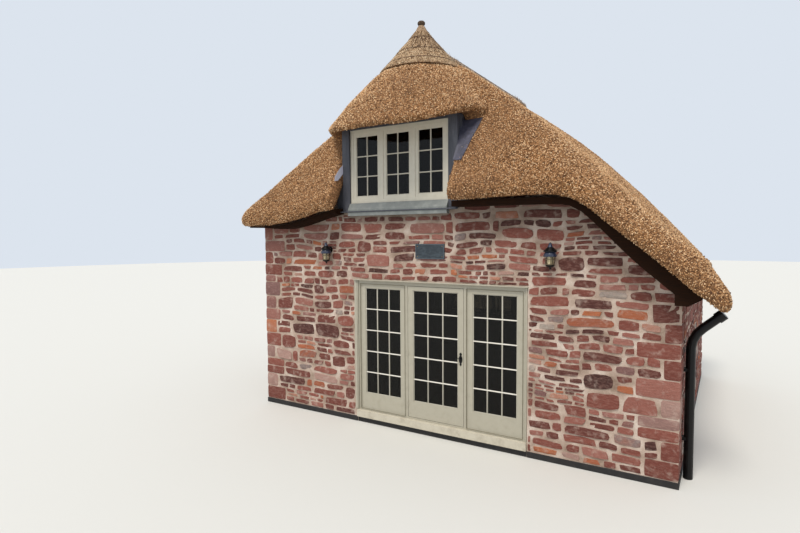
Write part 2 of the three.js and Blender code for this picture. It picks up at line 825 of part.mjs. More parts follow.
const boardNear = -halfDepth - GAP;
const dormerX = dormerSides();
add(
  "eave_board_front_left",
  eaveBoard(-halfWidth - 150, dormerX.left - DORMER.post - GAP, boardNear - BOARD.projection, boardNear),
  darkBoard,
  0.7,
);
add(
  "eave_board_front_right",
  eaveBoard(dormerX.right + DORMER.post + GAP, BOARD.endX, boardNear - BOARD.projection, boardNear),
  darkBoard,
  0.7,
);
add(
  "eave_board_back",
  eaveBoard(-halfWidth - 150, BOARD.hiddenEndX, -boardNear, -boardNear + BOARD.projection),
  darkBoard,
  0.7,
);

add("eave_board_left", sideBoard(-1), darkBoard, 0.7);
add("eave_board_right", sideBoard(1), darkBoard, 0.7);

add("door_frame", doorFrame(), paint, 0.5);
add("door_sill", doorSill(), paint, 0.5);
add("threshold_board", doorBoard(), boards, 0.6);
const leftLight = [DOOR.left + DOOR.jamb, door.leafLeft - DOOR.clearance - DOOR.mullion];
const rightLight = [door.leafRight + DOOR.clearance + DOOR.mullion, door.right - DOOR.jamb];
for (const [side, [x0, x1]] of [["left", leftLight], ["right", rightLight]]) {
  add(`side_light_${side}`, sideLight(x0, x1), paint, 0.5);
  const glassY = door.front + 28;
  add(
    `side_light_glass_${side}`,
    pane(x0 + DOOR.stile, x1 - DOOR.stile, DOOR.glassBottom, DOOR.glassTop, glassY),
    glass,
    0.1,
  );
}
add("door_leaf", doorLeaf(), paint, 0.5);
const doorGlassX = [door.leafLeft + DOOR.stile, door.leafRight - DOOR.stile];
add("door_glass", pane(...doorGlassX, DOOR.glassBottom, DOOR.glassTop, door.front + 18), glass, 0.1);
add("door_handle_outside", doorHandle(-1), blackMetal, 0.4, 0.6);
add("door_handle_inside", doorHandle(1), blackMetal, 0.4, 0.6);

add("dormer_cheek_left", dormerCheek(-1), lead, 0.6, 0.3);
add("dormer_cheek_right", dormerCheek(1), lead, 0.6, 0.3);
add("dormer_sill", dormerSill(), lead, 0.6, 0.3);
add("dormer_head", dormerHead(), darkBoard, 0.7);
const dormerY = -halfDepth + 10;
add(
  "dormer_frame",
  windowFrame(DORMER.centre, DORMER.bottom, DORMER.width, DORMER.height, dormerY, 90),
  paint,
  0.5,
);
["left", "middle", "right"].forEach((side, i) => {
  const made = casement(DORMER.centre, DORMER.bottom, DORMER.width, DORMER.height, dormerY + 8, i);
  add(`dormer_casement_${side}`, made.sash, paint, 0.5);
  add(`dormer_glass_${side}`, made.glass, glass, 0.1);
});

for (const [side, sign] of [["left", -1], ["right", 1]]) {
  const { x, bottom, width, height } = BACK_WINDOW;
  const y = halfDepth - 45 - 90;
  const frame = windowFrame(sign * x, bottom, width, height, y, 90);
  add(`back_window_frame_${side}`, frame, paint, 0.5);
  const x0 = sign * x - width / 2 + 20;
  const sheet = block(x0, x0 + width - 40, y - 14 - GAP, y - GAP, bottom + 20, bottom + height - 20);
  add(`back_window_glass_${side}`, sheet, glass, 0.1);
}

add("name_plate", block(
  PLATE.x - PLATE.width / 2,
  PLATE.x + PLATE.width / 2,
  -halfDepth - GAP - PLATE.thickness,
  -halfDepth - GAP,
  PLATE.z - PLATE.height / 2,
  PLATE.z + PLATE.height / 2,
), slate, 0.6);
add("rain_pipe", rainPipe(), blackMetal, 0.3);
for (const [side, x] of [["left", LANTERN.leftX], ["right", LANTERN.rightX]]) {
  add(`lantern_${side}`, lantern(x), blackMetal, 0.4, 0.5);
  add(`lantern_glass_${side}`, lanternGlass(x), brass, 0.2);
}

export default cottage;
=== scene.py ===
"""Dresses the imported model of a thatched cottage: rubble walls, reed thatch, leadwork and joinery.

Metres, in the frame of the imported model: X runs along the front wall, Y into the building, Z up.
"""

import logging
import math
import random
from dataclasses import dataclass, replace
from enum import Enum
from typing import Any, Callable, Iterable, Iterator, Sequence

import bmesh
import bpy
import numpy as np
from mathutils import Matrix, Vector, noise
from mathutils.bvhtree import BVHTree


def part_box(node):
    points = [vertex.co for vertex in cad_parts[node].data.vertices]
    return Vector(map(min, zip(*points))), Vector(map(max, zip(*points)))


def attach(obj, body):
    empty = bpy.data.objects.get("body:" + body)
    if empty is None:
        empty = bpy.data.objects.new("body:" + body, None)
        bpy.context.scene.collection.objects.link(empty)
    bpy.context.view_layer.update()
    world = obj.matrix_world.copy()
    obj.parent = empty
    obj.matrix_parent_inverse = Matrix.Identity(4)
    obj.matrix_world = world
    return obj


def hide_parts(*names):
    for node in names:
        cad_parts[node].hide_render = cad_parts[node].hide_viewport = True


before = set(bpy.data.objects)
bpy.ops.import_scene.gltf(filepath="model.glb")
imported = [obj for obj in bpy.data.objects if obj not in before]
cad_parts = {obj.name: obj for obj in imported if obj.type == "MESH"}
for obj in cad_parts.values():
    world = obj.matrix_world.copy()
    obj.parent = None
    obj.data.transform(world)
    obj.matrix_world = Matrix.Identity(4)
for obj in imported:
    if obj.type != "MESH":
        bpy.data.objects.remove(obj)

LOG = logging.getLogger("cottage")
HOUSE = "cottage"
LEAF = "door"
DOWN = Vector((0.0, 0.0, -1.0))
FRONT_Y = -3.0
RIDGE_FOOT = 5.8
RIDGE_START = -1.85
THINNER = ((-0.5, 0.8), (1.0, 0.35))
THIRD_OF_A_TURN = 2.0944
Colour = tuple[float, float, float, float]
Point = tuple[float, float, float]
Rectangle = tuple[float, float, float, float]


def srgb(red: int, green: int, blue: int) -> Colour:
    """Turns a colour of 0 to 255 a channel into the linear colour that a socket takes.

    Args:
        red: The red channel.
        green: The green channel.
        blue: The blue channel.

    Returns:
        The linear colour with an alpha of 1.
    """
    channels = [value / 255.0 for value in (red, green, blue)]
    linear = [c / 12.92 if c <= 0.04045 else ((c + 0.055) / 1.055) ** 2.4 for c in channels]
    return (linear[0], linear[1], linear[2], 1.0)


class Nodes:
    """A node tree with short calls that add nodes and join them."""

    def __init__(self, tree: bpy.types.NodeTree) -> None:
        """Keeps the tree that the calls add to."""
        self.tree = tree

    def add(self, kind: str, inputs: dict[Any, Any], **settings: Any) -> bpy.types.Node:
        """Adds a node, sets its options and feeds its sockets.

        Args:
            kind: The node's type name.
            inputs: A value or a socket for each input, by the input's name or index.
            **settings: The node's own options.

        Returns:
            The new node.
        """
        node = self.tree.nodes.new(kind)
        for name, value in settings.items():
            setattr(node, name, value)
        self.dress(node, inputs)
        return node

    def dress(self, node: bpy.types.Node, inputs: dict[Any, Any]) -> None:
        """Feeds several inputs of a node, by their names or indices."""
        for name, value in inputs.items():
            self.feed(node.inputs[name], value)

    def feed(self, socket: bpy.types.NodeSocket, value: Any) -> None:
        """Joins a socket to another one, or sets its value.

        Args:
            socket: The input.
            value: The socket to join it to, or the value.
        """
        if isinstance(value, bpy.types.NodeSocket):
            self.tree.links.new(value, socket)
        else:
            socket.default_value = value

    def place(self, stretch: Point = (1.0, 1.0, 1.0)) -> bpy.types.NodeSocket:
        """Object coordinates, stretched along the axes.

        Args:
            stretch: The scale along each axis.

        Returns:
            The socket with the coordinates.
        """
        where = self.add("ShaderNodeTexCoord", {}).outputs["Object"]
        return self.add("ShaderNodeMapping", {"Vector": where, "Scale": stretch}).outputs["Vector"]

    def cloud(
        self, where: bpy.types.NodeSocket, scale: Any, detail: float = 4.0, rough: float = 0.55
    ) -> bpy.types.NodeSocket:
        """A noise value at a place.

        Args:
            where: The coordinates.
            scale: How many features there are to a metre.
            detail: How many octaves it has.
            rough: How strong the finer octaves are.

        Returns:
            The socket with the value.
        """
        inputs = {"Vector": where, "Scale": scale, "Detail": detail, "Roughness": rough}
        return self.add("ShaderNodeTexNoise", inputs).outputs["Fac"]

    def cells(
        self, where: bpy.types.NodeSocket, scale: Any, feature: str = "F1"
    ) -> bpy.types.Node:
        """A Voronoi pattern of cells.

        Args:
            where: The coordinates.
            scale: How many cells there are to a metre.
            feature: Which distance it measures.

        Returns:
            The texture node.
        """
        return self.add("ShaderNodeTexVoronoi", {"Vector": where, "Scale": scale}, feature=feature)

    def ramp(self, value: bpy.types.NodeSocket, stops: Sequence[tuple]) -> bpy.types.NodeSocket:
        """Turns a value into a colour.

        Args:
            value: The value, from 0 to 1.
            stops: Pairs of a position and a colour.

        Returns:
            The socket with the colour.
        """
        node = self.add("ShaderNodeValToRGB", {"Fac": value})
        points = node.color_ramp.elements
        while len(points) < len(stops):
            points.new(0.5)
        for point, (position, colour) in zip(points, stops):
            point.position = position
            point.color = colour
        return node.outputs["Color"]

    def span(self, value: bpy.types.NodeSocket, old: tuple, new: tuple) -> bpy.types.NodeSocket:
        """Maps a value from one range to another, held to its ends.

        Args:
            value: The value.
            old: The range it comes from.
            new: The range it goes to.

        Returns:
            The socket with the mapped value.
        """
        inputs = {0: value, 1: old[0], 2: old[1], 3: new[0], 4: new[1]}
        return self.add("ShaderNodeMapRange", inputs).outputs[0]

    def mix(self, factor: Any, first: Any, second: Any, how: str = "MIX") -> bpy.types.NodeSocket:
        """Mixes two colours.

        Args:
            factor: How much of the second colour there is.
            first: The first colour.
            second: The second colour.
            how: The way they blend.

        Returns:
            The socket with the mixed colour.
        """
        inputs = {0: factor, 6: first, 7: second}
        node = self.add("ShaderNodeMix", inputs, data_type="RGBA", blend_type=how)
        return node.outputs[2]

    def sum(self, first: Any, second: Any, how: str = "ADD") -> bpy.types.NodeSocket:
        """One value from two, by addition or by another named way."""
        return self.add("ShaderNodeMath", {0: first, 1: second}, operation=how).outputs[0]

    def bump(self, height: bpy.types.NodeSocket, depth: float) -> bpy.types.NodeSocket:
        """A normal from a height.

        Args:
            height: The height, from 0 to 1.
            depth: How deep the relief is, in metres.

        Returns:
            The socket with the normal.
        """
        inputs = {"Height": height, "Strength": 1.0, "Distance": depth}
        return self.add("ShaderNodeBump", inputs).outputs["Normal"]

    def grey(self, level: bpy.types.NodeSocket) -> bpy.types.NodeSocket:
        """A grey colour from a value."""
        return self.add("ShaderNodeCombineColor", {0: level, 1: level, 2: level}).outputs[0]

    def own_tone(self) -> bpy.types.NodeSocket:
        """The tone that every stone or reed carries in its mesh."""
        return self.add("ShaderNodeAttribute", {}, attribute_name="tone").outputs["Fac"]


def effect(name: str, inputs: dict[str, float], outputs: Sequence[str]) -> tuple:
    """Starts a shader node group that several materials share.

    Args:
        name: The group's name.
        inputs: The inputs with their usual values.
        outputs: The names of the values it puts out.

    Returns:
        The group's tree, its input node and its output node.
    """
    tree = bpy.data.node_groups.new(name, "ShaderNodeTree")
    for label, usual in inputs.items():
        socket = tree.interface.new_socket(label, in_out="INPUT", socket_type="NodeSocketFloat")
        socket.default_value = usual
    for label in outputs:
        tree.interface.new_socket(label, in_out="OUTPUT", socket_type="NodeSocketFloat")
    return tree, tree.nodes.new("NodeGroupInput"), tree.nodes.new("NodeGroupOutput")


class Effects:
    """The shared effects, each a function that builds the node group of its own name."""

    @staticmethod
    def weathering() -> bpy.types.NodeTree:
        """Wide blotches and fine specks over any surface.

        Returns:
            The group's tree.
        """
        inputs = {"Blotches": 1.2, "Specks": 90.0}
        tree, source, result = effect("weathering", inputs, ["Blotch", "Speck"])
        nodes = Nodes(tree)
        where = nodes.place()
        blotch = nodes.cloud(where, source.outputs["Blotches"], 5.0, 0.6)
        speck = nodes.cloud(where, source.outputs["Specks"], 2.0, 0.5)
        nodes.feed(result.inputs["Blotch"], nodes.span(blotch, (0.32, 0.68), (0.0, 1.0)))
        nodes.feed(result.inputs["Speck"], nodes.span(speck, (0.3, 0.7), (0.0, 1.0)))
        return tree

    @staticmethod
    def reed_ends() -> bpy.types.NodeTree:
        """The dotted ends of dressed reed, each with its own shade.

        Returns:
            The group's tree.
        """
        tree, source, result = effect("reed_ends", {"Ends": 60.0}, ["Shade", "Height"])
        nodes = Nodes(tree)
        ends = nodes.cells(nodes.place(), source.outputs["Ends"])
        shade = nodes.add("ShaderNodeSeparateColor", {"Color": ends.outputs["Color"]}).outputs[0]
        height = nodes.span(ends.outputs["Distance"], (0.0, 0.75), (1.0, 0.0))
        nodes.dress(result, {"Shade": shade, "Height": height})
        return tree

    @staticmethod
    def painted_eaves_shade() -> bpy.types.NodeTree:
        """Painted shade high under the eaves, as a grey to multiply a colour with.

        Returns:
            The group's tree.
        """
        tree, source, result = effect("painted_eaves_shade", {"Lost": 0.45}, ["Shade"])
        nodes = Nodes(tree)
        where = nodes.place()
        height = nodes.add("ShaderNodeSeparateXYZ", {0: where}).outputs[2]
        uneven = nodes.span(nodes.cloud(where, 2.0, 3.0, 0.5), (0.0, 1.0), (-0.1, 0.1))
        share = nodes.span(nodes.sum(height, uneven), (2.8, 3.35), (0.0, 1.0))
        lost = nodes.sum(share, source.outputs["Lost"], "MULTIPLY")
        nodes.feed(result.inputs["Shade"], nodes.sum(1.0, lost, "SUBTRACT"))
        return tree

    @staticmethod
    def use(
        nodes: Nodes, effect_of: Callable[[], bpy.types.NodeTree], **values: float
    ) -> bpy.types.Node:
        """Puts an effect into a material, and builds its group the first time.

        Args:
            nodes: The material's nodes.
            effect_of: The function that builds the group.
            **values: The effect's inputs.

        Returns:
            The group node.
        """
        tree = bpy.data.node_groups.get(effect_of.__name__) or effect_of()
        return nodes.add("ShaderNodeGroup", values, node_tree=tree)


@dataclass(frozen=True)
class Finish:
    """One finish of a surface, made into a material the first time it is used."""

    name: str
    slot: str

    def material(self) -> bpy.types.Material:
        """The finish as a material.

        Returns:
            The material.
        """
        material = bpy.data.materials.get(self.name)
        if material:
            return material
        material = bpy.data.materials.new(self.name)
        material.use_nodes = True
        material.node_tree.nodes.clear()
        nodes = Nodes(material.node_tree)
        shader = nodes.add("ShaderNodeBsdfPrincipled", {})
        out = nodes.add("ShaderNodeOutputMaterial", {})
        nodes.feed(out.inputs["Surface"], shader.outputs[0])
        self.shade(nodes, shader)
        return material

    def shade(self, nodes: Nodes, shader: bpy.types.Node) -> None:
        """Feeds the shader; each kind of finish has its own way."""
        raise NotImplementedError


@dataclass(frozen=True)
class Thatch(Finish):
    """Dressed reed seen end on, darker and greyer in patches."""

    dark: Colour = srgb(62, 36, 18)
    middle: Colour = srgb(150, 106, 66)
    light: Colour = srgb(206, 160, 112)
    grey: Colour = srgb(132, 102, 78)
    ends: float = 58.0
    weather: float = 0.35

    def shade(self, nodes: Nodes, shader: bpy.types.Node) -> None:
        """Feeds the shader from the reed ends, painted shade in the gaps between them and the
        weathering.

        Args:
            nodes: The material's nodes.
            shader: Its shader.
        """
        reed = Effects.use(nodes, Effects.reed_ends, Ends=self.ends)
        wear = Effects.use(nodes, Effects.weathering, Blotches=0.9, Specks=150.0)
        # Painted shade: each reed end darkens towards its rim, in the gaps between the ends.
        painted_gap_shade = nodes.span(reed.outputs["Height"], (0.1, 0.7), (0.25, 1.0))
        shade = nodes.sum(reed.outputs["Shade"], painted_gap_shade, "MULTIPLY")
        straw = nodes.ramp(shade, [(0.0, self.dark), (0.42, self.middle), (1.0, self.light)])
        amount = nodes.sum(wear.outputs["Blotch"], self.weather, "MULTIPLY")
        nodes.dress(shader, {
            "Base Color": nodes.mix(amount, straw, self.grey),
            "Normal": nodes.bump(reed.outputs["Height"], 0.008),
            "Roughness": 0.92,
            "Specular IOR Level": 0.2,
        })


@dataclass(frozen=True)
class Reed(Finish):
    """Single reeds that stand out of the coat, each in its own shade of straw."""

    dark: Colour = srgb(84, 50, 28)
    middle: Colour = srgb(196, 146, 100)
    light: Colour = srgb(250, 214, 166)

    def shade(self, nodes: Nodes, shader: bpy.types.Node) -> None:
        """Feeds the shader from each reed's own tone.

        Args:
            nodes: The material's nodes.
            shader: Its shader.
        """
        wear = Effects.use(nodes, Effects.weathering, Blotches=0.9, Specks=200.0)
        patch = nodes.span(wear.outputs["Blotch"], (0.0, 1.0), (0.1, -0.14))
        shade = nodes.sum(nodes.own_tone(), patch)
        stops = [(0.0, self.dark), (0.45, self.middle), (1.0, self.light)]
        nodes.dress(shader, {
            "Base Color": nodes.ramp(shade, stops),
            "Normal": nodes.bump(wear.outputs["Speck"], 0.001),
            "Roughness": 0.85,
            "Specular IOR Level": 0.15,
        })


@dataclass(frozen=True)
class Rubble(Finish):
    """Red and plum sandstone, with an odd grey or orange stone."""

    tones: tuple = (
        (0.00, srgb(62, 38, 34)),
        (0.14, srgb(86, 48, 42)),
        (0.32, srgb(114, 62, 52)),
        (0.48, srgb(136, 78, 66)),
        (0.62, srgb(152, 100, 88)),
        (0.74, srgb(120, 86, 82)),
        (0.83, srgb(172, 138, 126)),
        (0.88, srgb(176, 104, 68)),
        (0.94, srgb(150, 84, 58)),
        (0.97, srgb(130, 114, 110)),
        (1.00, srgb(178, 166, 152)),
    )
    streak: Colour = srgb(182, 142, 128)
    lime: Colour = srgb(192, 170, 156)

    def shade(self, nodes: Nodes, shader: bpy.types.Node) -> None:
        """Feeds the shader from each stone's own tone, with bedding streaks, specks and painted
        shade under the eaves.

        Args:
            nodes: The material's nodes.
            shader: Its shader.
        """
        bedding = nodes.cloud(nodes.place((1.0, 1.0, 3.0)), 14.0, 6.0, 0.65)
        wear = Effects.use(nodes, Effects.weathering, Blotches=9.0, Specks=160.0)
        share = nodes.span(bedding, (0.45, 0.8), (0.0, 0.4))
        streaked = nodes.mix(share, nodes.ramp(nodes.own_tone(), self.tones), self.streak)
        speck = nodes.span(wear.outputs["Speck"], (0.0, 1.0), (0.72, 1.16))
        coloured = nodes.mix(1.0, streaked, nodes.grey(speck), "MULTIPLY")
        limed = nodes.span(wear.outputs["Blotch"], (0.6, 1.0), (0.0, 0.42))
        worn = nodes.mix(limed, coloured, self.lime)
        # Painted shade: the stones darken high under the eaves, where the eaves' shadow falls.
        dust = Effects.use(nodes, Effects.painted_eaves_shade).outputs["Shade"]
        height = nodes.sum(bedding, nodes.sum(wear.outputs["Speck"], 0.3, "MULTIPLY"))
        nodes.dress(shader, {
            "Base Color": nodes.mix(1.0, worn, dust, "MULTIPLY"),
            "Normal": nodes.bump(height, 0.010),
            "Roughness": 0.88,
            "Specular IOR Level": 0.3,
        })


@dataclass(frozen=True)
class Mortar(Finish):
    """Sandy pinkish mortar outside and limewashed plaster inside."""

    half_width: float = 2.9
    half_depth: float = 2.6
    plaster: Colour = srgb(150, 142, 128)
    tones: tuple = (
        (0.0, srgb(140, 118, 102)),
        (0.5, srgb(184, 162, 146)),
        (1.0, srgb(214, 198, 184)),
    )

    def shade(self, nodes: Nodes, shader: bpy.types.Node) -> None:
        """Feeds the shader with sand grains and blotches, painted shade under the eaves, and plaster
        inside the rooms.

        Args:
            nodes: The material's nodes.
            shader: Its shader.
        """
        wear = Effects.use(nodes, Effects.weathering, Blotches=3.0, Specks=120.0)
        blotch, speck = wear.outputs["Blotch"], wear.outputs["Speck"]
        grain = nodes.grey(nodes.span(speck, (0.0, 1.0), (0.8, 1.1)))
        outside = nodes.mix(1.0, nodes.ramp(blotch, self.tones), grain, "MULTIPLY")
        where = nodes.add("ShaderNodeTexCoord", {}).outputs["Object"]
        axes = nodes.add("ShaderNodeSeparateXYZ", {0: where}).outputs
        east = nodes.sum(nodes.sum(axes[0], 0.0, "ABSOLUTE"), self.half_width, "LESS_THAN")
        north = nodes.sum(nodes.sum(axes[1], 0.0, "ABSOLUTE"), self.half_depth, "LESS_THAN")
        # Painted shade: the mortar darkens high under the eaves, where the eaves' shadow falls.
        dust = Effects.use(nodes, Effects.painted_eaves_shade).outputs["Shade"]
        eaves_shaded = nodes.mix(1.0, outside, dust, "MULTIPLY")
        nodes.dress(shader, {
            "Base Color": nodes.mix(nodes.sum(east, north, "MULTIPLY"), eaves_shaded, self.plaster),
            "Normal": nodes.bump(nodes.sum(speck, blotch), 0.003),
            "Roughness": 0.95,
            "Specular IOR Level": 0.2,
        })


@dataclass(frozen=True)
class Plain(Finish):
    """A painted, metal or slate surface with blotches, specks and a little relief."""

    base: Colour = srgb(186, 179, 160)
    worn: Colour = srgb(142, 133, 112)
    amount: float = 0.35
    blotches: float = 6.0
    specks: float = 220.0
    rough: float = 0.45
    rougher: float = 0.15
    metal: float = 0.0
    coat: float = 0.0
    shine: float = 0.5
    relief: float = 0.0006
    stretch: Point = (1.0, 1.0, 1.0)

    def shade(self, nodes: Nodes, shader: bpy.types.Node) -> None:
        """Feeds the shader with worn blotches, streaks and specks.

        Args:
            nodes: The material's nodes.
            shader: Its shader.
        """
        wear = Effects.use(nodes, Effects.weathering, Blotches=self.blotches, Specks=self.specks)
        speck = wear.outputs["Speck"]
        streak = nodes.cloud(nodes.place(self.stretch), self.blotches * 2.0, 5.0, 0.6)
        run = nodes.span(streak, (0.4, 0.75), (0.0, 1.0))
        dirt = nodes.sum(run, wear.outputs["Blotch"], "MULTIPLY")
        grit = nodes.sum(speck, 0.25, "MULTIPLY")
        mask = nodes.sum(nodes.sum(dirt, 0.75, "MULTIPLY"), grit)
        amount = nodes.sum(mask, self.amount, "MULTIPLY")
        height = nodes.sum(streak, nodes.sum(speck, 0.4, "MULTIPLY"))
        ends = (self.rough, self.rough + self.rougher)
        nodes.dress(shader, {
            "Base Color": nodes.mix(amount, self.base, self.worn),
            "Roughness": nodes.span(mask, (0.0, 1.0), ends),
            "Normal": nodes.bump(height, self.relief),
            "Metallic": self.metal,
            "Coat Weight": self.coat,
            "Specular IOR Level": self.shine,
        })


@dataclass(frozen=True)
class Timber(Finish):
    """Dark or pale wood with grain along one axis."""

    dark: Colour = srgb(14, 7, 4)
    light: Colour = srgb(40, 22, 13)
    gap: Colour = srgb(28, 18, 12)
    gap_share: float = 0.03
    stretch: Point = (1.0, 12.0, 12.0)
    rough: float = 0.6
    grain: float = 9.0
    board: float = 0.0
    relief: float = 0.0015
    shine: float = 0.25

    def shade(self, nodes: Nodes, shader: bpy.types.Node) -> None:
        """Feeds the shader with grain, and with joints between boards where it has them.

        Args:
            nodes: The material's nodes.
            shader: Its shader.
        """
        grain = nodes.cloud(nodes.place(self.stretch), self.grain, 8.0, 0.7)
        share = nodes.span(grain, (0.3, 0.7), (0.0, 1.0))
        wood, height = nodes.ramp(share, [(0.0, self.dark), (1.0, self.light)]), grain
        if self.board:
            along = nodes.add("ShaderNodeSeparateXYZ", {0: nodes.place()}).outputs[1]
            turn = nodes.sum(nodes.sum(along, self.board, "DIVIDE"), 0.0, "FRACT")
            joint = nodes.sum(turn, self.gap_share, "LESS_THAN")
            wood = nodes.mix(joint, wood, self.gap)
            height = nodes.sum(grain, joint, "SUBTRACT")
        nodes.dress(shader, {
            "Base Color": wood,
            "Normal": nodes.bump(height, self.relief),
            "Roughness": nodes.span(grain, (0.3, 0.7), (self.rough, self.rough + 0.15)),
            "Specular IOR Level": self.shine,
        })


@dataclass(frozen=True)
class Glazing(Finish):
    """Clear window glass with a faint waviness and dust."""

    tint: Colour = srgb(92, 88, 80)
    dust: Colour = srgb(150, 146, 134)

    def shade(self, nodes: Nodes, shader: bpy.types.Node) -> None:
        """Feeds the shader with thin dust and a slow wave.

        Args:
            nodes: The material's nodes.
            shader: Its shader.
        """
        wear = Effects.use(nodes, Effects.weathering, Blotches=2.5, Specks=300.0)
        wave = wear.outputs["Blotch"]
        share = nodes.span(wear.outputs["Speck"], (0.5, 1.0), (0.0, 0.1))
        nodes.dress(shader, {
            "Base Color": nodes.mix(share, self.tint, self.dust),
            "Roughness": nodes.span(wave, (0.0, 1.0), (0.01, 0.05)),
            "Normal": nodes.bump(wave, 0.0004),
            "Transmission Weight": 1.0,
            "IOR": 1.3,
            "Specular IOR Level": 0.42,
        })


THATCH = Thatch("reed_thatch", "thatch")
RIDGE_REED = Thatch(
    "ridge_reed", "ridge", dark=srgb(110, 88, 70), middle=srgb(190, 166, 142),
    light=srgb(228, 210, 188), grey=srgb(160, 148, 136), ends=70.0,
)
PEAK_REED = Thatch(
    "peak_reed", "ridge", dark=srgb(96, 70, 48), middle=srgb(182, 150, 118),
    light=srgb(226, 200, 166), grey=srgb(152, 132, 112), ends=80.0,
)
KNOT_STRAW = Thatch(
    "knot_straw", "ridge", dark=srgb(50, 40, 32), middle=srgb(104, 84, 66),
    light=srgb(150, 126, 102), grey=srgb(90, 78, 68), ends=110.0,
)
REED = Reed(
    "reed_ends", "thatch", srgb(84, 52, 30), srgb(202, 154, 108), srgb(255, 224, 182)
)
PEAK_STRAW = Reed(
    "peak_straw", "ridge", srgb(98, 70, 48), srgb(190, 158, 124), srgb(240, 214, 178)
)
RIDGE_STRAW = Reed(
    "ridge_straw", "ridge", srgb(104, 88, 74), srgb(184, 164, 146), srgb(236, 222, 204)
)
HAZEL = Timber(
    "hazel_rods", "ridge", dark=srgb(52, 34, 24), light=srgb(104, 76, 54), stretch=(6.0, 6.0, 6.0)
)
BOARD = Timber(
    "stained_board", "dark_board", dark=srgb(24, 13, 7), light=srgb(44, 25, 13), rough=0.6,
    relief=0.0003, shine=0.06,
)
FLOORBOARD = Timber(
    "oak_floor", "floorboards", dark=srgb(84, 58, 36), light=srgb(142, 106, 72), board=0.15
)
STONE = Rubble("red_rubble", "stone")
MORTAR = Mortar("sandy_mortar", "stone")
PAINT = Plain(
    "cream_paint", "paint", srgb(171, 165, 148), srgb(132, 124, 104), relief=0.0003, rough=0.42
)
BAR_PAINT = Plain("bar_paint", "paint", srgb(182, 177, 162), srgb(146, 138, 118), rough=0.42)
# Painted light: the rails take a paler copy of the bar paint, as if lit from above.
LIT_RAIL_PAINT = Plain("lit_rail_paint", "paint", srgb(224, 219, 208), srgb(190, 182, 164), rough=0.42)
# Painted light: a paler copy of the cream paint for the dormer's frames, casements and bars,
# lightened against the shade of the hood.
LIT_SASH_PAINT = Plain(
    "lit_sash_paint", "paint", srgb(200, 194, 178), srgb(158, 150, 130), relief=0.0003, rough=0.42
)
# Painted shadow: a dark paint for thin strips that stand in for the shadow in the door set's joints.
GAP_SHADOW = Plain("painted_gap_shadow", "paint", srgb(104, 97, 78), srgb(78, 70, 54), rough=0.6)
SILL_STONE = Plain(
    "sill_stone", "floor", srgb(196, 188, 170), srgb(138, 126, 106), amount=0.6, rough=0.7
)
FLAGS = Plain(
    "stone_floor", "floor", srgb(146, 134, 120), srgb(104, 92, 80), amount=0.7, rough=0.75
)
LEAD = Plain(
    "weathered_lead", "lead", srgb(58, 60, 68), srgb(122, 123, 130), amount=0.55, blotches=3.0,
    rough=0.5, rougher=0.2, metal=0.25, relief=0.002, stretch=(3.0, 3.0, 0.4),
)
SILL_LEAD = Plain(
    "sill_lead", "lead", srgb(110, 114, 112), srgb(160, 162, 156), amount=0.6, blotches=5.0,
    metal=0.1,
)
# Lead of the right flashing, partly its own colour and partly painted shade: made dark to stand in
# for the shadow under the hood.
SHADED_FLASHING = Plain(
    "lead_with_painted_shade", "lead", srgb(46, 47, 60), srgb(116, 115, 138), amount=0.6, blotches=8.0,
    rough=0.5, metal=0.2, relief=0.002,
)
NEW_LEAD = Plain(
    "new_lead", "lead", srgb(200, 200, 218), srgb(228, 228, 240), amount=0.6, blotches=8.0,
    rough=0.5, relief=0.002,
)
IRON = Plain(
    "black_iron", "black_metal", srgb(4, 4, 5), srgb(36, 34, 33), amount=0.15, blotches=14.0,
    rough=0.3, rougher=0.25, shine=0.28,
)
BITUMEN = Plain(
    "damp_course", "black_metal", srgb(18, 18, 20), srgb(70, 64, 60), amount=0.45, rough=0.6
)
BRASS = Plain(
    "aged_brass", "black_metal", srgb(176, 138, 82), srgb(92, 72, 50), amount=0.6, blotches=30.0,
    rough=0.3, metal=0.9,
)
ENAMEL = Plain(
    "blue_black_enamel", "black_metal", srgb(30, 36, 56), srgb(70, 78, 100), amount=0.4,
    blotches=30.0, rough=0.25, coat=0.4,
)
CAGE = Plain(
    "lantern_cage", "black_metal", srgb(126, 112, 90), srgb(66, 54, 42), amount=0.7,
    blotches=30.0, rough=0.35, metal=0.6,
)
SLATE = Plain(
    "blue_slate", "slate", srgb(24, 33, 41), srgb(78, 90, 98), amount=1.0, blotches=9.0,
    specks=120.0, rough=0.5, relief=0.0008, stretch=(1.0, 1.0, 3.0),
)
SLATE_EDGE = Plain(
    "slate_edge", "slate", srgb(52, 64, 74), srgb(120, 130, 134), amount=0.7, blotches=20.0,
    rough=0.5,
)
GLASS = Glazing("window_glass", "glass")
LAMP_GLASS = Plain(
    "frosted_glass", "glass", srgb(226, 210, 166), srgb(180, 158, 116), amount=0.5,
    blotches=24.0, rough=0.25,
)


def island(starts: Iterable[Any]) -> set:
    """Every vertex that hangs together with some vertices.

    Args:
        starts: Vertices, among which anything else is passed over.

    Returns:
        The vertices.
    """
    edge = {v for v in starts if isinstance(v, bmesh.types.BMVert)}
    found = set(edge)
    while edge:
        edge = {e.other_vert(v) for v in edge for e in v.link_edges} - found
        found |= edge
    return found


